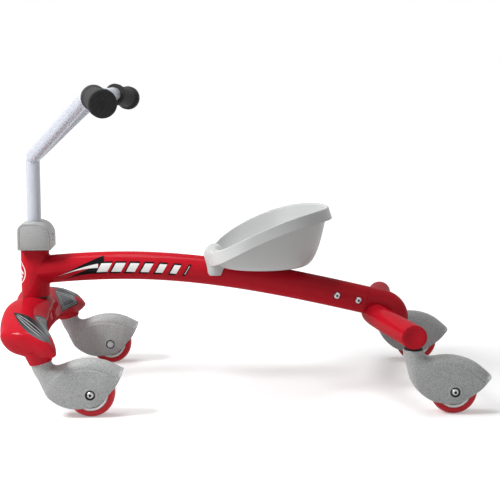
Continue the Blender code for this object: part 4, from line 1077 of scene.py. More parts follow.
def socket_head(name, radius, height, socket):
    """A button head on the XY plane with a hexagonal socket."""
    profile = turned_profile([(0.0, 0.0, 0), (radius, 0.0, 0.0003), (radius, height * 0.45, height * 0.35),
                              (radius * 0.62, height, height * 0.30), (0.0, height, 0)], 5)
    head = lathe(name, profile, 40)
    low, high = height * 0.12, height + 0.002
    hexagon = lathe(name + "_socket", [(0.0, low), (socket, low), (socket, high), (0.0, high)], 6)
    combine(head, ("DIFFERENCE", hexagon))
    # Painted shade in the hexagonal socket: its floor and walls are marked to render nearly black.
    paint_shade_where(head, lambda place: math.hypot(place.x, place.y) < socket * 1.02
                and 0.00001 < place.z < height * 0.9)
    return head


def screws(name, places, size, shanks, nodes, matrix=Matrix.Identity(4)):
    """Screw heads at places, given as (place, turn), with their shanks."""
    mesh = bpy.data.meshes.new(name)
    mesh.from_pydata([place for place, _ in places], [], [])
    turns = mesh.attributes.new("turn", "FLOAT_VECTOR", "POINT")
    for i, (_, turn) in enumerate(places):
        turns.data[i].vector = turn
    head = socket_head("head", **size)
    obj = TREES["screws"].run(temporary(name, mesh), {"Head": head})
    discard(head)
    add_bodies(obj, *shanks)
    return finished(obj, name, MATERIALS["zinc"], nodes, matrix)


def nut(name, low, corner, bore, height):
    """A hexagonal lock nut about local Z, up from a height, with a chamfered face and a collar."""
    high = low + height
    top = mix(low, high, 0.72)
    form = lathe(name, [(0.0, low), (corner, low), (corner, top), (0.0, top)], 6)
    past, edge = corner + 0.002, corner + 0.0001
    trim = lathe("trim", [(past, low - 0.001), (past, top + 0.001), (corner - 0.0009, top + 0.001),
                          (edge, top - 0.0006), (edge, low + 0.0005), (corner - 0.0006, low - 0.001)], 40)
    ring = lathe("ring", turned_profile([(0.0, top - 0.0004, 0), (corner * 0.80, top - 0.0004, 0),
                                         (corner * 0.80, high, 0.0005), (0.0, high, 0)], 4), 40)
    hole = bar("hole", bore, (0, 0, low - 0.01), (0, 0, high + 0.01), 32)
    return combine(form, ("DIFFERENCE", trim), ("UNION", ring), ("DIFFERENCE", hole))


def corner_matrix(sign, end):
    x = FRONT_AXLE_X if end == "front" else REAR_AXLE_X
    return Matrix.Translation((x, sign * HALF_TRACK, 0.0))


def make_axle_bolts():
    seat = BOLT_SEAT + FIT_GAP
    for side, sign, end in CORNERS:
        where = side + "_" + end
        place = corner_matrix(sign, end)
        end_y = seat + AXLE_NUT["height"] + AXLE_THREAD_PAST_NUT
        shank = bar("shank", AXLE_SHANK_RADIUS, (0, -sign * end_y, 0), (0, sign * (seat + 0.0004), 0), 32)
        screws(where + "_axle_screw", [((0.0, sign * seat, 0.0), (-sign * math.pi / 2, 0.0, 0.0))],
               AXLE_SCREW, [shank], [where + "_axle_bolt"], place)
        piece = nut(where + "_nut", seat, **AXLE_NUT)
        piece.data.transform(Matrix.Rotation(sign * math.pi / 2, 4, "X"))
        finished(piece, where + "_lock_nut", MATERIALS["zinc"], [where + "_axle_nut"], place)


def make_cross_bolts():
    """The two bolts through the main tube and the spigot in it, with their nuts on the far side."""
    for where, back in zip(("rear", "front"), YOKE_BOLT_SETBACKS):
        x = SEAM[0] - back
        z = arch_height(x)
        seat = BOLT_SEAT_Y + FIT_GAP
        shank = bar("shank", THIN_SHANK_RADIUS, (x, seat + 0.0025, z), (x, -seat - 0.0003, z), 32)
        screws(where + "_cross_screw", [((x, -seat, z), (math.pi / 2, 0.0, 0.0))], CROSS_SCREW,
               [shank], [where + "_yoke_bolt"])
        piece = nut(where + "_nut", seat, **CROSS_NUT)
        piece.data.transform(Matrix.Translation((x, 0.0, z)) @ ACROSS.inverted())
        finished(piece, where + "_cross_nut", MATERIALS["zinc"], [where + "_yoke_nut"])


def make_stem_bolt():
    """The bolt that clamps the handlebar in its collar, whose head is at the rear."""
    rear, front = COLLAR["rear"] - STEM_BOLT_DEPTH, COLLAR["front"] + STEM_BOLT_DEPTH
    shank = bar("shank", THIN_SHANK_RADIUS, (rear + 0.0005, 0, STEM_BOLT_Z),
                (front - 0.0032, 0, STEM_BOLT_Z), 32)
    screws("stem_screw", [((rear + FIT_GAP, 0.0, STEM_BOLT_Z), (0.0, math.pi / 2, 0.0))], STEM_SCREW,
           [shank], ["stem_bolt"])
    piece = nut("stem_nut", FIT_GAP, **STEM_NUT)
    place = Matrix.Translation((front, 0.0, STEM_BOLT_Z))
    piece.data.transform(place @ Matrix.Rotation(-math.pi / 2, 4, "Y"))
    finished(piece, "stem_lock_nut", MATERIALS["zinc"], ["stem_nut"])


# Wheels and their housings

def wheel_tyre():
    bore = HUB_RADIUS + FIT_GAP
    side = [(bore, WHEEL_WIDTH / 2, 0.0003), (WHEEL_RADIUS - 0.0030, WHEEL_WIDTH / 2, 0.0012),
            (WHEEL_RADIUS, WHEEL_WIDTH / 2 - 0.0052, 0.0035)]
    return lathe("tyre", turned_profile(both_faces(side), 6), 96)


def wheel_hub(ribs):
    """A hub with a groove between its rim and its bearing seat on each face, and ribs across the groove."""
    rim_face, face, web = WHEEL_WIDTH / 2 - 0.0008, WHEEL_WIDTH / 2 - 0.0002, 0.0060
    seat = face - 0.0074
    side = [(HUB_RADIUS, rim_face, 0.0003), (HUB_RADIUS - 0.0040, rim_face, 0.0005),
            (HUB_RADIUS - 0.0046, web, 0.0006), (BEARING_RADIUS + 0.0034, web, 0.0006),
            (BEARING_RADIUS + 0.0028, face, 0.0004), (BEARING_RADIUS + FIT_GAP, face, 0.0002),
            (BEARING_RADIUS + FIT_GAP, seat, 0), (BEARING_RADIUS - 0.003, seat, 0)]
    hub = lathe("hub", turned_profile(both_faces(side), 4), 72)
    hub.data.transform(ACROSS)
    inner, outer = (BEARING_RADIUS + 0.0030, 0.0104), (HUB_RADIUS - 0.0042, 0.0100)
    for way in (-1, 1):
        rows = [[Vector((x, way * y, reach))
                 for x, y in ((-0.0011, 0.0056), (0.0011, 0.0056), (0.0008, top), (-0.0008, top))]
                for reach, top in (inner, outer)]
        add_bodies(hub, TREES["spokes"].run(skin("rib", rows), {"Count": ribs}))
    return hub


def make_wheels():
    sizes, _ = chosen()
    tyre, hub = wheel_tyre(), wheel_hub(sizes.ribs)
    tyre.data.transform(ACROSS)
    for side, sign, end in CORNERS:
        where = side + "_" + end
        place = corner_matrix(sign, end)
        finished(duplicate(tyre), where + "_urethane", MATERIALS["tyre"], [where + "_tyre"], place, sharp=50)
        finished(duplicate(hub), where + "_wheel_hub", MATERIALS["hub"], [where + "_hub"], place)
    discard(tyre, hub)


# Sections of a wheel housing from its neck to its tail: its top as (x, z), its bottom as (x, z), half its
# width, and its roundness, from 0 for flat cheeks under a crown to 1 for an ellipse

HOUSING_STATIONS = (
    ((-0.0475, 0.0590), (-0.0800, 0.0520), 0.0165, 1.00),
    ((-0.0425, 0.0556), (-0.0754, 0.0385), 0.0173, 0.80),
    ((-0.0335, 0.0552), (-0.0714, 0.0245), 0.0184, 0.45),
    ((-0.0215, 0.0567), (-0.0660, 0.0105), 0.0193, 0.15),
    ((-0.0080, 0.0572), (-0.0532, -0.0035), HOUSING_HALF_WIDTH, 0.0),
    ((0.0080, 0.0553), (-0.0365, -0.0142), HOUSING_HALF_WIDTH, 0.0),
    ((0.0240, 0.0503), (-0.0150, -0.0192), HOUSING_HALF_WIDTH, 0.0),
    ((0.0375, 0.0430), (0.0060, -0.0188), HOUSING_HALF_WIDTH, 0.0),
    ((0.0475, 0.0352), (0.0255, -0.0085), HOUSING_HALF_WIDTH, 0.0),
    ((0.0550, 0.0286), (0.0425, 0.0040), 0.0193, 0.0),
    ((TAIL_REACH, 0.0248), (0.0560, 0.0195), 0.0188, 0.0),
)


def housing_ring(top, bottom, width, roundness):
    """A section of the housing: a round crown over stepped flat cheeks, or an ellipse at the neck."""
    upper, lower = Vector((top[0], 0.0, top[1])), Vector((bottom[0], 0.0, bottom[1]))
    centre = (upper + lower) / 2
    up = (upper - lower).normalized()
    half = (upper - lower).length / 2
    crown = min(mix(CROWN_DEPTH, half, roundness), 1.1 * half)
    step = CHEEK_STEP * (1 - roundness)
    edge_y = mix(CHEEK_EDGE, width, roundness)
    edge_z = min(mix(CHEEK_EDGE, half, roundness), 2 * half - crown - 0.0002)
    side = []
    for i in range(1, 13):
        turn = math.radians(90 * i / 12)
        side.append((math.sin(turn) * (width - step), half - crown + crown * math.cos(turn)))
    shoulder = half - crown - 0.0003
    for share in (0.15, 0.5, 0.85):
        side.append((width - step * (1 - share), shoulder - 0.0006 * share))
    side.append((width, shoulder - 0.0009))
    for i in range(7):
        turn = math.radians(4 + 82 * i / 6)
        side.append((width - edge_y + edge_y * math.cos(turn), -half + edge_z - edge_z * math.sin(turn)))
    points = [(0.0, half)] + side + [(0.0, -half)] + [(-y, z) for y, z in reversed(side)]
    return [centre + Vector((0.0, y, 0.0)) + up * z for y, z in points]


def neck_ring(drop):
    """A circle round the neck below its top, whose points lie as those of the first section do."""
    first = housing_ring(*HOUSING_STATIONS[0])
    opposite = first[len(first) // 2]
    centre = (first[0] + opposite) / 2
    up = (first[0] - opposite).normalized()
    turns = [math.atan2(point.y, (point - centre).dot(up)) for point in first]
    return [Vector((-NECK_LEAD + NECK_RADIUS * math.cos(a), NECK_RADIUS * math.sin(a), NECK_TOP - drop))
            for a in turns]


def axle_boss():
    """The raised ring round an axle bolt on both cheeks."""
    boss = lathe("boss", turned_profile([(0.0, -BOSS_Y, 0), (BOSS_RADIUS, -BOSS_Y, 0.0006),
                                         (BOSS_RADIUS, BOSS_Y, 0.0006), (0.0, BOSS_Y, 0)], 4), 64)
    boss.data.transform(ACROSS)
    return boss


def axle_holes():
    """The hole for an axle bolt, with a recess for its head or its nut in both cheeks."""
    wide = BOLT_RECESS_RADIUS + BOLT_RECESS_RIM
    side = [(0.0, 0.05), (wide, 0.05), (wide, BOSS_Y), (BOLT_RECESS_RADIUS, BOSS_Y - BOLT_RECESS_RIM),
            (BOLT_RECESS_RADIUS, BOLT_SEAT), (AXLE_HOLE_RADIUS, BOLT_SEAT)]
    holes = lathe("axle_holes", both_faces(side), 48)
    holes.data.transform(ACROSS)
    return holes


def make_housings():
    rows = [neck_ring(0.0), neck_ring(0.0045)] + [housing_ring(*station) for station in HOUSING_STATIONS]
    form = skin("housing", smooth_rows(rows, 7))
    outline = arc((0.0, 0.0), WHEEL_RADIUS + 0.0035, 205, 38, 48)
    outline += [(0.0530, 0.0215), (0.0740, -0.0300), (0.0600, -0.0600), (-0.0600, -0.0600)]
    well = WHEEL_WIDTH / 2 + 0.0018
    steps = [("UNION", axle_boss()), ("DIFFERENCE", plate("wheel_well", outline, -well, well))]
    for sign in (-1, 1):
        steps.append(("UNION", bar("inner_boss", 0.0075, (0, sign * (WHEEL_WIDTH / 2 + FIT_GAP), 0),
                                   (0, sign * (well + 0.002), 0), 40)))
    pin_end = NECK_TOP - PIN_IN_NECK - FIT_GAP
    pin_bore = bar("pin_bore", PIN_RADIUS + FIT_GAP, (-NECK_LEAD, 0, pin_end),
                   (-NECK_LEAD, 0, NECK_TOP + 0.01), 32)
    combine(form, *steps, ("DIFFERENCE", axle_holes()), ("DIFFERENCE", pin_bore))
    # Painted shade in the recess round each axle bolt: the recess is marked to render dark.
    paint_shade_where(form, lambda place: math.hypot(place.x, place.z) < BOLT_RECESS_RADIUS + 0.0003
                and abs(place.y) < BOSS_Y - 0.0002)
    for side, sign, end in CORNERS:
        lean = Matrix.Rotation(-FRONT_LEAN if end == "front" else 0.0, 4, "Y")
        finished(duplicate(form), side + "_" + end + "_housing", MATERIALS["grey"],
                 [side + "_" + end + "_wheel_housing"], corner_matrix(sign, end) @ lean, sharp=32)
    discard(form)


# Fork cowl: a crown under the head tube with a swept wing to each front housing. Each section gives a share
# of the half track, an overhang past it, and its outline (rear, rear top, top, front top, front, front
# bottom, bottom, rear bottom) as (x, z).

COWL_FRONT = -0.0412
COWL_SECTIONS = (
    (0.00, 0.000, (0.0270, 0.0910), (0.0260, 0.1138), (0.0000, 0.1262), (-0.0290, 0.1160),
     (-0.0320, 0.0910), (-0.0265, 0.0700), (0.0000, 0.0620), (0.0245, 0.0680)),
    (0.20, 0.000, (0.0262, 0.0880), (0.0260, 0.1100), (-0.0020, 0.1252), (-0.0345, 0.1185),
     (-0.0392, 0.0920), (-0.0325, 0.0690), (-0.0030, 0.0615), (0.0240, 0.0660)),
    (0.44, 0.000, (0.0285, 0.0800), (0.0265, 0.1010), (-0.0020, 0.1225), (-0.0360, 0.1180),
     (COWL_FRONT, 0.0920), (-0.0350, 0.0675), (-0.0040, 0.0600), (0.0240, 0.0630)),
    (0.68, 0.000, (0.0370, 0.0740), (0.0340, 0.0950), (0.0040, 0.1165), (-0.0325, 0.1125),
     (-0.0400, 0.0870), (-0.0310, 0.0665), (0.0000, 0.0580), (0.0300, 0.0610)),
    (0.86, 0.000, (0.0475, 0.0700), (0.0450, 0.0880), (0.0130, 0.1100), (-0.0240, 0.1080),
     (-0.0340, 0.0870), (-0.0240, 0.0675), (0.0040, 0.0580), (0.0380, 0.0585)),
    (1.00, 0.000, (0.0555, 0.0680), (0.0520, 0.0830), (0.0220, 0.1040), (-0.0120, 0.1040),
     (-0.0287, 0.0910), (-0.0150, 0.0680), (0.0100, 0.0590), (0.0460, 0.0575)),
    (1.00, 0.015, (0.0595, 0.0670), (0.0550, 0.0800), (0.0300, 0.0980), (0.0040, 0.1000),
     (-0.0080, 0.0900), (0.0020, 0.0740), (0.0200, 0.0600), (0.0500, 0.0590)),
    (1.00, 0.026, (0.0610, 0.0670), (0.0570, 0.0760), (0.0450, 0.0880), (0.0330, 0.0890),
     (0.0270, 0.0830), (0.0320, 0.0730), (0.0420, 0.0650), (0.0540, 0.0625)),
    (1.00, 0.031, (0.0605, 0.0675), (0.0580, 0.0720), (0.0510, 0.0770), (0.0450, 0.0770),
     (0.0420, 0.0740), (0.0450, 0.0700), (0.0500, 0.0660), (0.0570, 0.0645)),
)
NECK_SOCKET_RADIUS = 0.0185
NECK_SOCKET_TOP_RADIUS = 0.0235
NECK_SOCKET_HEIGHT = 0.022
NECK_SOCKET_START = 0.0005
CROWN_SEAT_RADIUS = 0.0246
CROWN_SEAT_DROP = 0.0017
CROWN_FOOT_Z = 0.065

# The way the outer panels face, as (rearwards, outwards, up)
PANEL_FACING = (0.175, 0.96, 0.215)


def cowl_ring(section, sign):
    share, overhang, *outline = section
    y = sign * (share * HALF_TRACK + overhang)
    return closed_curve([Vector((x, y, z)) for x, z in outline], 8)


def neck_axis():
    """The top of a front housing's neck and the way its neck points, as (x, z)."""
    turn = Matrix.Rotation(FRONT_LEAN, 2)
    return Vector((FRONT_AXLE_X, 0.0)) + turn @ Vector((-NECK_LEAD, NECK_TOP)), turn @ Vector((0.0, 1.0))


def make_cowl():
    left = [cowl_ring(section, -1) for section in reversed(COWL_SECTIONS)]
    rows = smooth_rows(left + [cowl_ring(section, 1) for section in COWL_SECTIONS[1:]], 9)
    for row in rows:
        for point in row:
            point.x = max(point.x, COWL_FRONT)
    cowl = skin("cowl", rows)
    top, up = neck_axis()
    steps = []
    for _, sign in SIDES:
        foot, head, below, face = (Vector((top.x + up.x * reach, sign * HALF_TRACK, top.y + up.y * reach))
                                   for reach in (NECK_SOCKET_START, NECK_SOCKET_HEIGHT, -0.06, FIT_GAP))
        steps.append(("UNION", bar("neck_socket", NECK_SOCKET_RADIUS, foot, head, 56,
                                   NECK_SOCKET_TOP_RADIUS)))
        steps.append(("DIFFERENCE", bar("neck_trim", 0.030, below, face, 48)))
    seat = HEAD_BOTTOM - CROWN_SEAT_DROP - 2 * FIT_GAP
    for name, radius, low, high, sides in (("crown_seat", CROWN_SEAT_RADIUS, seat, seat + 0.02, 64),
                                           ("column_bore", COLUMN_BORE, 0.03, seat + 0.01, 48),
                                           ("crown_foot", FRAME_RADIUS, 0.03, CROWN_FOOT_Z, 48)):
        steps.append(("DIFFERENCE", bar(name, radius, (0, 0, low), (0, 0, high), sides)))
    combine(cowl, *steps)
    piece = finished(cowl, "fork_crown_cowl", MATERIALS["panelled"], ["fork_cowl"], sharp=34)
    back, out, rise = PANEL_FACING
    for name, turn in (("outwards", 1), ("inwards", -1)):
        facing = piece.data.attributes.new(name, "FLOAT", "POINT")
        for vertex in piece.data.vertices:
            way = Vector((back, math.copysign(out, vertex.co.y) * turn, rise))
            facing.data[vertex.index].value = vertex.normal.dot(way)


# Collar, handlebar and grips

COVER_DEPTH = 0.0015
COVER_INSET = 0.0038
COVER_ROUNDING = 0.0005
COLLAR_ROUNDING = 0.0018
COLLAR_CORNERS = (0.014, 0.027)
STEM_BOLT_HOLE_RADIUS = 0.0033
STEM_BOLT_ROOM_RADIUS = 0.0068


def collar_outline(inset):
    front, rear = COLLAR["front"] + inset, COLLAR["rear"] - inset
    bottom, top = COLLAR["bottom"] + inset, COLLAR["top"] - inset
    front_round, rear_round = (radius - inset for radius in COLLAR_CORNERS)
    return ([(front, bottom)] + arc((front + front_round, top - front_round), front_round, 180, 90, 12)
            + arc((rear - rear_round, top - rear_round), rear_round, 90, 0, 18) + [(rear, bottom)])


def rounded_plate(name, outline_at, low, high, rounding, steps=4):
    """A plate whose outline, given by its inset, is rounded over on both faces."""
    turns = [math.radians(90 * i / steps) for i in range(steps + 1)]
    sections = [(low + rounding * (1 - math.cos(a)), rounding * (1 - math.sin(a))) for a in turns]
    sections += [(high - rounding * (1 - math.cos(a)), rounding * (1 - math.sin(a))) for a in reversed(turns)]
    return skin(name, [[Vector((x, y, z)) for x, z in outline_at(inset)] for y, inset in sections])


def make_collar():
    half = COLLAR["half"]
    block = rounded_plate("collar", collar_outline, -half, half, COLLAR_ROUNDING)
    steps = [bar("stem_bore", STEM_RADIUS + FIT_GAP, (0, 0, 0.20), (0, 0, 0.28), 56),
             bar("column_bore", COLUMN_BORE, (0, 0, 0.20), (0, 0, COLUMN_TOP + FIT_GAP), 56)]
    for _, sign in SIDES:
        faces = sorted((sign * (half - COVER_DEPTH), sign * (half + 0.01)))
        steps.append(plate("cover_recess", collar_outline(COVER_INSET), *faces))
    rear, front = COLLAR["rear"] - STEM_BOLT_DEPTH, COLLAR["front"] + STEM_BOLT_DEPTH
    for radius, start, end in ((STEM_BOLT_HOLE_RADIUS, -0.05, 0.05), (STEM_BOLT_ROOM_RADIUS, rear, 0.05),
                               (STEM_BOLT_ROOM_RADIUS, -0.05, front)):
        steps.append(bar("bolt_room", radius, (start, 0, STEM_BOLT_Z), (end, 0, STEM_BOLT_Z), 36))
    combine(block, *(("DIFFERENCE", tool) for tool in steps))
    finished(block, "handlebar_collar", MATERIALS["grey"], ["collar"])
    for side, sign in SIDES:
        faces = sorted((sign * (half - COVER_DEPTH + FIT_GAP), sign * (half + 0.0002)))
        lid = rounded_plate("lid", lambda inset: collar_outline(COVER_INSET + 0.0004 + inset), *faces,
                            COVER_ROUNDING, 2)
        finished(lid, side + "_side_cover", MATERIALS["grey"], [side + "_collar_cover"])


def make_handlebar():
    end_y = GRIP_END.y - GRIP_FLOOR - FIT_GAP
    end = GRIP_START.lerp(GRIP_END, (end_y - GRIP_START.y) / (GRIP_END.y - GRIP_START.y))
    half = [(end, 0.0), (GRIP_START, 0.080), (Vector(WISHBONE_CORNER), 0.036)]
    near = [(Vector((point.x, -point.y, point.z)), radius) for point, radius in half]
    foot_x, foot_z = WISHBONE_FOOT
    path = rounded(near + [(Vector((foot_x, 0.0, foot_z)), 0.016)] + list(reversed(half)), 14)
    wishbone = swept("wishbone", path, BAR_RADIUS, 56)
    stem = swept("stem", [(0, 0, 0.165), (0, 0, 0.25), (0, 0, foot_z + 0.008)], STEM_RADIUS, 56)
    hollow = bar("stem_hollow", STEM_RADIUS - 0.002, (0, 0, 0.15), (0, 0, COLUMN_TOP + 0.03), 40)
    combine(wishbone, ("UNION", stem), ("DIFFERENCE", hollow))
    finished(wishbone, "handlebar_weldment", MATERIALS["silver"], ["handlebar"])


def make_grips():
    """Foam grips with a lip at their start, a knob at their end and a small dimple in its face."""
    span = (GRIP_END - GRIP_START).length
    bore, face, start = BAR_RADIUS + FIT_GAP, span - 0.0004, 0.004
    thin, lip = GRIP_RADIUS - 0.0010, GRIP_RADIUS + 0.0010
    corners = [(0.0, face - 0.0010, 0), (0.0050, face - 0.0010, 0.0004), (0.0056, face, 0.0004),
               (GRIP_END_RADIUS - 0.0002, face, 0.0030), (GRIP_END_RADIUS, span - 0.011, 0.0030),
               (thin, span - 0.0165, 0.0040), (thin, 0.015 + start, 0.0020), (lip, 0.010 + start, 0.0020),
               (lip, start, 0.0018), (bore, start, 0.0004), (bore, span - GRIP_FLOOR, 0),
               (0.0, span - GRIP_FLOOR, 0)]
    for side, sign in SIDES:
        first, last = (Vector((point.x, sign * point.y, point.z)) for point in (GRIP_START, GRIP_END))
        turn = (last - first).to_track_quat("Z", "Y").to_matrix().to_4x4()
        grip = lathe("grip", turned_profile(corners, 6), 72)
        finished(grip, side + "_foam_grip", MATERIALS["foam"], [side + "_grip"],
                 Matrix.Translation(first) @ turn)


# Seat

def rim_point(turn, outset=0.0, lower=0.0):
    """A point of the seat's rim, or of an outline round it, at an angle seen from above."""
    back = math.cos(turn) > 0
    reach = (SEAT_REAR - SEAT_MIDDLE) if back else (SEAT_MIDDLE - SEAT_FRONT)
    power = 1.0 if back else 2 / 2.6
    x = SEAT_MIDDLE + math.copysign(abs(math.cos(turn)) ** power, math.cos(turn)) * (reach + outset)
    y = math.copysign(abs(math.sin(turn)) ** power, math.sin(turn)) * (SEAT_HALF_WIDTH + outset)
    along = min(max((SEAT_REAR - x) / (SEAT_REAR - SEAT_FRONT), 0.0), 1.0)
    return Vector((x, y, SEAT_RIM_Z - SEAT_RIM_DROP * along ** 1.8 - lower))


def floor_point(turn, height, reach_x, reach_y):
    """A point of an ellipse under the seat or on its floor."""
    centre = (SEAT_FRONT + SEAT_REAR) / 2 - 0.012
    return Vector((centre + math.cos(turn) * reach_x, math.sin(turn) * reach_y, height))


def wall_point(low, high, share):
    """A point of the seat's curved wall, by its share of the height."""
    spread = share ** 0.34 if share > 0 else 0.0
    return Vector((mix(low.x, high.x, spread), mix(low.y, high.y, spread), mix(low.z, high.z, share)))


def under_band(turn, outset, lift=0.0):
    """A point of the lower edge of the band that hangs from the rim."""
    rim = rim_point(turn, outset)
    return Vector((rim.x, rim.y, max(rim.z - SEAT_BAND, SEAT_BOTTOM_Z + 0.006) + lift))


def channel_height(x):
    """The highest place of the tube's centre line under a place on the seat, as the seat slides."""
    way = slide_direction()
    shifts = [SEAT_TRAVEL * i / 4 for i in range(5)]
    return max(arch_height(x + way.x * shift) - way.z * shift for shift in shifts)


def make_seat_channel():
    radius = FRAME_RADIUS + SLIDE_GAP
    rows = []
    for i in range(25):
        x = mix(SEAT_FRONT - 0.040, SEAT_REAR + 0.020, i / 24)
        ring = [Vector((x, y, channel_height(x) + z)) for y, z in arc((0.0, 0.0), radius, 0, 180, 41)]
        rows.append(ring + [Vector((x, -radius, channel_height(x) - 0.060)),
                            Vector((x, radius, channel_height(x) - 0.060))])
    return skin("seat_channel", rows)


# Sections of the seat's nose: height, reach forwards, half width and reach back

NOSE_SECTIONS = ((0.0, 0.0165, 0.029, 0.022), (0.006, 0.0190, 0.031, 0.023), (0.018, 0.0195, 0.0315, 0.026),
                 (0.030, 0.0190, 0.031, 0.026), (0.042, 0.0155, 0.027, 0.019), (0.049, 0.0070, 0.018, 0.009))


def make_seat_nose():
    low = arch_height(SEAT_FRONT) - 0.0035
    rows = []
    for height, reach, half, back in NOSE_SECTIONS:
        ring = []
        for i in range(64):
            turn = 2 * math.pi * (i + 0.5) / 64
            x = math.cos(turn) * (back if math.cos(turn) > 0 else reach)
            ring.append(Vector((SEAT_FRONT + 0.003 + x, math.sin(turn) * half, low + height)))
        rows.append(ring)
    return skin("seat_nose", smooth_rows(rows, 5))


# The seat's skin from under its floor, up its wall, over the band and the rounded rim and down inside:
# shares of the wall's height, then (outset, drop) of the rim's points, then shares again

OUTER_WALL = (0.0, 0.015, 0.04, 0.08, 0.14, 0.22, 0.33, 0.46, 0.60, 0.75, 0.90, 1.0)
RIM_ROUNDING = ((0.0012, 0.0022), (0.0008, 0.0010), (-0.0001, 0.0003), (-0.0012, 0.0), (-0.0026, 0.0001),
                (-0.0036, 0.0006), (-0.0042, 0.0016))
INNER_WALL = (0.97, 0.88, 0.72, 0.55, 0.40, 0.27, 0.15, 0.07, 0.02, 0.0)

SEAT_BOLT_ROOM_RADIUS = 0.0115
SEAT_BOLT_ROOM_DEPTH = 0.003


def seat_skin(count=132):
    turns = [2 * math.pi * i / count for i in range(count)]
    rows = []
    for share in OUTER_WALL:
        rows.append([wall_point(floor_point(a, SEAT_BOTTOM_Z, 0.064, 0.056), under_band(a, -0.004), share)
                     for a in turns])
    for outset, lift in ((-0.0030, 0.0), (SEAT_BAND_FLARE - 0.0006, 0.0), (SEAT_BAND_FLARE, 0.0006)):
        rows.append([under_band(a, outset, lift) for a in turns])
    for outset, drop in RIM_ROUNDING:
        rows.append([rim_point(a, outset, drop) for a in turns])
    for share in INNER_WALL:
        rows.append([wall_point(floor_point(a, SEAT_FLOOR_Z, 0.050, 0.043),
                                rim_point(a, -SEAT_WALL - 0.002), share) for a in turns])
    return skin("seat", rows)


def make_seat():
    x, seat = SEAT_BOLT_X, SEAT_FLOOR_Z - SEAT_BOLT_ROOM_DEPTH
    shell = seat_skin()
    combine(shell, ("UNION", make_seat_nose()), ("DIFFERENCE", make_seat_channel()),
            ("DIFFERENCE", bar("bolt_hole", SEAT_SHANK_RADIUS + FIT_GAP, (x, 0, 0.14), (x, 0, 0.25), 40)),
            ("DIFFERENCE", bar("bolt_room", SEAT_BOLT_ROOM_RADIUS, (x, 0, seat), (x, 0, 0.25), 48)))
    finished(shell, "bucket_seat", MATERIALS["seat"], ["seat_shell"], sharp=40)
    shank_end = arch_height(x) + FRAME_RADIUS - FRAME_WALL - 0.0034 - 0.010
    shank = bar("shank", SEAT_SHANK_RADIUS, (x, 0, shank_end), (x, 0, seat + FIT_GAP + 0.0004), 36)
    screws("seat_screw", [((x, 0.0, seat + FIT_GAP), (0.0, 0.0, 0.0))], SEAT_SCREW, [shank], ["seat_bolt"])


def dress_inner_parts():
    """CAD nodes that stay as they are take a finish."""
    kinds = {"black_nylon": "nylon", "black_rubber": "foam", "zinc_steel": "zinc"}
    for name, node in frame["nodes"].items():
        if not node.hide_render:
            node.data.materials.clear()
            node.data.materials.append(MATERIALS[kinds[SLOTS[name]]])


# Stage. A light has its name, its place, its width, its power in watts and the place it points at.

WHITE = (1.0, 1.0, 1.0, 1.0)
ROOM_LIGHT = 0.27
FLOOR_GREY = (0.80, 0.80, 0.80, 1.0)
FLOOR_GLOW = {"From Min": 0.5, "From Max": 2.2, "To Min": 0.33, "To Max": 0.90}
LIGHTS = (("key", (-1.25, -0.55, 1.35), 0.5, 31.0, (-0.1, 0.0, 0.15)),
          ("fill", (1.4, -1.8, 1.4), 1.6, 3.0, (0.0, 0.0, 0.15)),
          ("top", (-0.3, 0.2, 2.4), 1.0, 24.0, (0.0, 0.0, 0.1)))
CAMERA_PLACE = (-0.0430, -1.8943, 0.5328)
CAMERA_SENSOR = 36.0
CAMERA_DIP = 7.20
CAMERA_TURN = -1.73
CAMERA_LENS = 79.85
CAMERA_SHIFT = -0.062


def seen(tree):
    """1 where the camera or a reflection sees the surface, and 0 where it only lights other things."""
    path = new_node(tree, "ShaderNodeLightPath").outputs
    either = new_node(tree, "ShaderNodeMath", {"operation": "MAXIMUM"},
                      {0: path["Is Camera Ray"], 1: path["Is Glossy Ray"]})
    any_ray = new_node(tree, "ShaderNodeMath", {"operation": "MAXIMUM"},
                       {0: either.outputs[0], 1: path["Is Transmission Ray"]})
    return any_ray.outputs[0]


def emptied(owner):
    """The node tree of a world or material, with no nodes."""
    owner.use_nodes = True
    owner.node_tree.nodes.clear()
    return owner.node_tree


def make_world():
    """A room that looks white and lights the toy softly."""
    world = bpy.data.worlds.new("soft_room")
    bpy.context.scene.world = world
    tree = emptied(world)
    dim = new_node(tree, "ShaderNodeBackground", None, {"Color": WHITE, "Strength": ROOM_LIGHT})
    white = new_node(tree, "ShaderNodeBackground", None, {"Color": WHITE, "Strength": 1.0})
    mixed = new_node(tree, "ShaderNodeMixShader", None,
                     {0: seen(tree), 1: dim.outputs[0], 2: white.outputs[0]})
    new_node(tree, "ShaderNodeOutputWorld", None, {"Surface": mixed.outputs[0]})


def make_floor(size):
    """A floor that takes the toy's shadow and glows towards its edges, where the lights don't reach."""
    bm = bmesh.new()
    bmesh.ops.create_grid(bm, x_segments=1, y_segments=1, size=size / 2)
    floor = temporary("floor", bpy.data.meshes.new("floor"))
    bm.to_mesh(floor.data)
    bm.free()
    material = bpy.data.materials.new("pale_floor")
    tree = emptied(material)
    matt = new_node(tree, "ShaderNodeBsdfDiffuse", None, {"Color": FLOOR_GREY})
    spot = new_node(tree, "ShaderNodeTexCoord").outputs["Object"]
    far = new_node(tree, "ShaderNodeVectorMath", {"operation": "LENGTH"}, {0: spot})
    rise = new_node(tree, "ShaderNodeMapRange", None, {**FLOOR_GLOW, "Value": far.outputs["Value"]})
    amount = new_node(tree, "ShaderNodeMath", {"operation": "MULTIPLY"}, {0: seen(tree), 1: rise.outputs[0]})
    glow = new_node(tree, "ShaderNodeEmission", None, {"Color": WHITE, "Strength": amount.outputs[0]})
    both = new_node(tree, "ShaderNodeAddShader", None, {0: matt.outputs[0], 1: glow.outputs[0]})
    new_node(tree, "ShaderNodeOutputMaterial", None, {"Surface": both.outputs[0]})
    floor.data.materials.append(material)


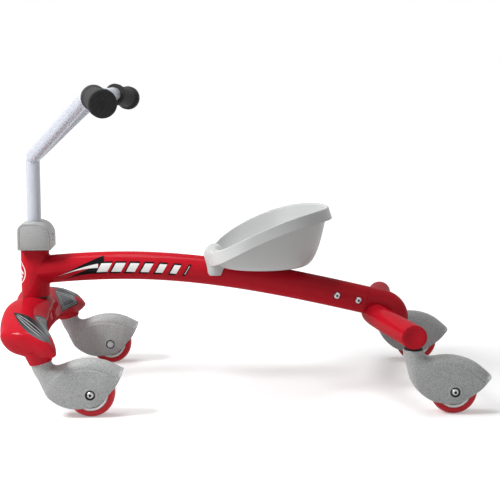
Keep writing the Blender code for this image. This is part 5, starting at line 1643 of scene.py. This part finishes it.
def make_light(name, place, size, power, aim):
    data = bpy.data.lights.new(name, "AREA")
    data.shape = "SQUARE"
    data.size = size
    data.energy = power
    light = bpy.data.objects.new(name, data)
    light.location = place
    light.rotation_euler = (Vector(aim) - Vector(place)).to_track_quat("-Z", "Y").to_euler()
    bpy.context.scene.collection.objects.link(light)


def make_camera():
    data = bpy.data.cameras.new("camera")
    data.sensor_width = CAMERA_SENSOR
    data.lens = CAMERA_LENS
    data.shift_y = CAMERA_SHIFT
    camera = bpy.data.objects.new("camera", data)
    camera.location = CAMERA_PLACE
    camera.rotation_euler = (math.radians(90.0 - CAMERA_DIP), 0.0, math.radians(CAMERA_TURN))
    bpy.context.scene.collection.objects.link(camera)
    bpy.context.scene.camera = camera


def make_stage():
    sizes, _ = chosen()
    bpy.context.scene.view_settings.view_transform = "Standard"
    make_world()
    make_floor(sizes.floor)
    for light in LIGHTS:
        make_light(*light)
    make_camera()


# Operators, one for each group of pieces

class MakeFinishes(bpy.types.Operator):
    """Make the materials and the Geometry Nodes trees that the pieces use"""
    bl_idname = "wiggle.finishes"
    bl_label = "Finishes and trees"

    def execute(self, context):
        make_trees()
        make_finishes()
        return {"FINISHED"}


class MakeFrame(bpy.types.Operator):
    """Make the main tube with its head, the rear yoke and its caps"""
    bl_idname = "wiggle.frame"
    bl_label = "Frame and yoke"

    def execute(self, context):
        make_main_frame()
        make_yoke()
        make_caps()
        return {"FINISHED"}


class MakeCowl(bpy.types.Operator):
    """Make the fork cowl with its inset panels"""
    bl_idname = "wiggle.cowl"
    bl_label = "Fork cowl"

    def execute(self, context):
        make_cowl()
        return {"FINISHED"}


class MakeHousings(bpy.types.Operator):
    """Make the four wheel housings"""
    bl_idname = "wiggle.housings"
    bl_label = "Wheel housings"

    def execute(self, context):
        make_housings()
        return {"FINISHED"}


class MakeWheels(bpy.types.Operator):
    """Make the four tyres and hubs"""
    bl_idname = "wiggle.wheels"
    bl_label = "Wheels"

    def execute(self, context):
        make_wheels()
        return {"FINISHED"}


class MakeFasteners(bpy.types.Operator):
    """Make the screws and nuts"""
    bl_idname = "wiggle.fasteners"
    bl_label = "Screws and nuts"

    def execute(self, context):
        make_axle_bolts()
        make_cross_bolts()
        make_stem_bolt()
        return {"FINISHED"}


class MakeHandlebar(bpy.types.Operator):
    """Make the collar, the handlebar and its grips"""
    bl_idname = "wiggle.handlebar"
    bl_label = "Handlebar"

    def execute(self, context):
        make_collar()
        make_handlebar()
        make_grips()
        return {"FINISHED"}


class MakeSeat(bpy.types.Operator):
    """Make the bucket seat and its screw"""
    bl_idname = "wiggle.seat"
    bl_label = "Seat"

    def execute(self, context):
        make_seat()
        return {"FINISHED"}


class DressInnerParts(bpy.types.Operator):
    """Give the parts that stay from the frame their finishes"""
    bl_idname = "wiggle.inner_parts"
    bl_label = "Inner parts"

    def execute(self, context):
        dress_inner_parts()
        return {"FINISHED"}


class MakeStage(bpy.types.Operator):
    """Make the floor, the lights, the world and the camera"""
    bl_idname = "wiggle.stage"
    bl_label = "Stage"

    def execute(self, context):
        make_stage()
        return {"FINISHED"}


OPERATORS = (MakeFinishes, MakeFrame, MakeCowl, MakeHousings, MakeWheels, MakeFasteners, MakeHandlebar,
             MakeSeat, DressInnerParts, MakeStage)


class WigglePanel(bpy.types.Panel):
    """Sizes, colours and one button for each group of pieces"""
    bl_idname = "VIEW3D_PT_wiggle"
    bl_label = "Wiggle car"
    bl_space_type = "VIEW_3D"
    bl_region_type = "UI"
    bl_category = "Wiggle car"

    def draw(self, context):
        for group in (context.scene.wiggle_sizes, context.scene.wiggle_colours):
            box = self.layout.box()
            for key in group.__annotations__:
                box.prop(group, key)
        for operator in OPERATORS:
            self.layout.operator(operator.bl_idname)


CLASSES = (WiggleColours, WiggleSizes, *OPERATORS, WigglePanel)


def register():
    for cls in CLASSES:
        bpy.utils.register_class(cls)
    bpy.types.Scene.wiggle_sizes = bpy.props.PointerProperty(type=WiggleSizes)
    bpy.types.Scene.wiggle_colours = bpy.props.PointerProperty(type=WiggleColours)


def unregister():
    del bpy.types.Scene.wiggle_colours
    del bpy.types.Scene.wiggle_sizes
    for cls in reversed(CLASSES):
        bpy.utils.unregister_class(cls)


def main():
    register()
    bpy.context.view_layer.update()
    for operator in OPERATORS:
        group, name = operator.bl_idname.split(".")
        getattr(getattr(bpy.ops, group), name)()


if __name__ == "__main__":
    main()
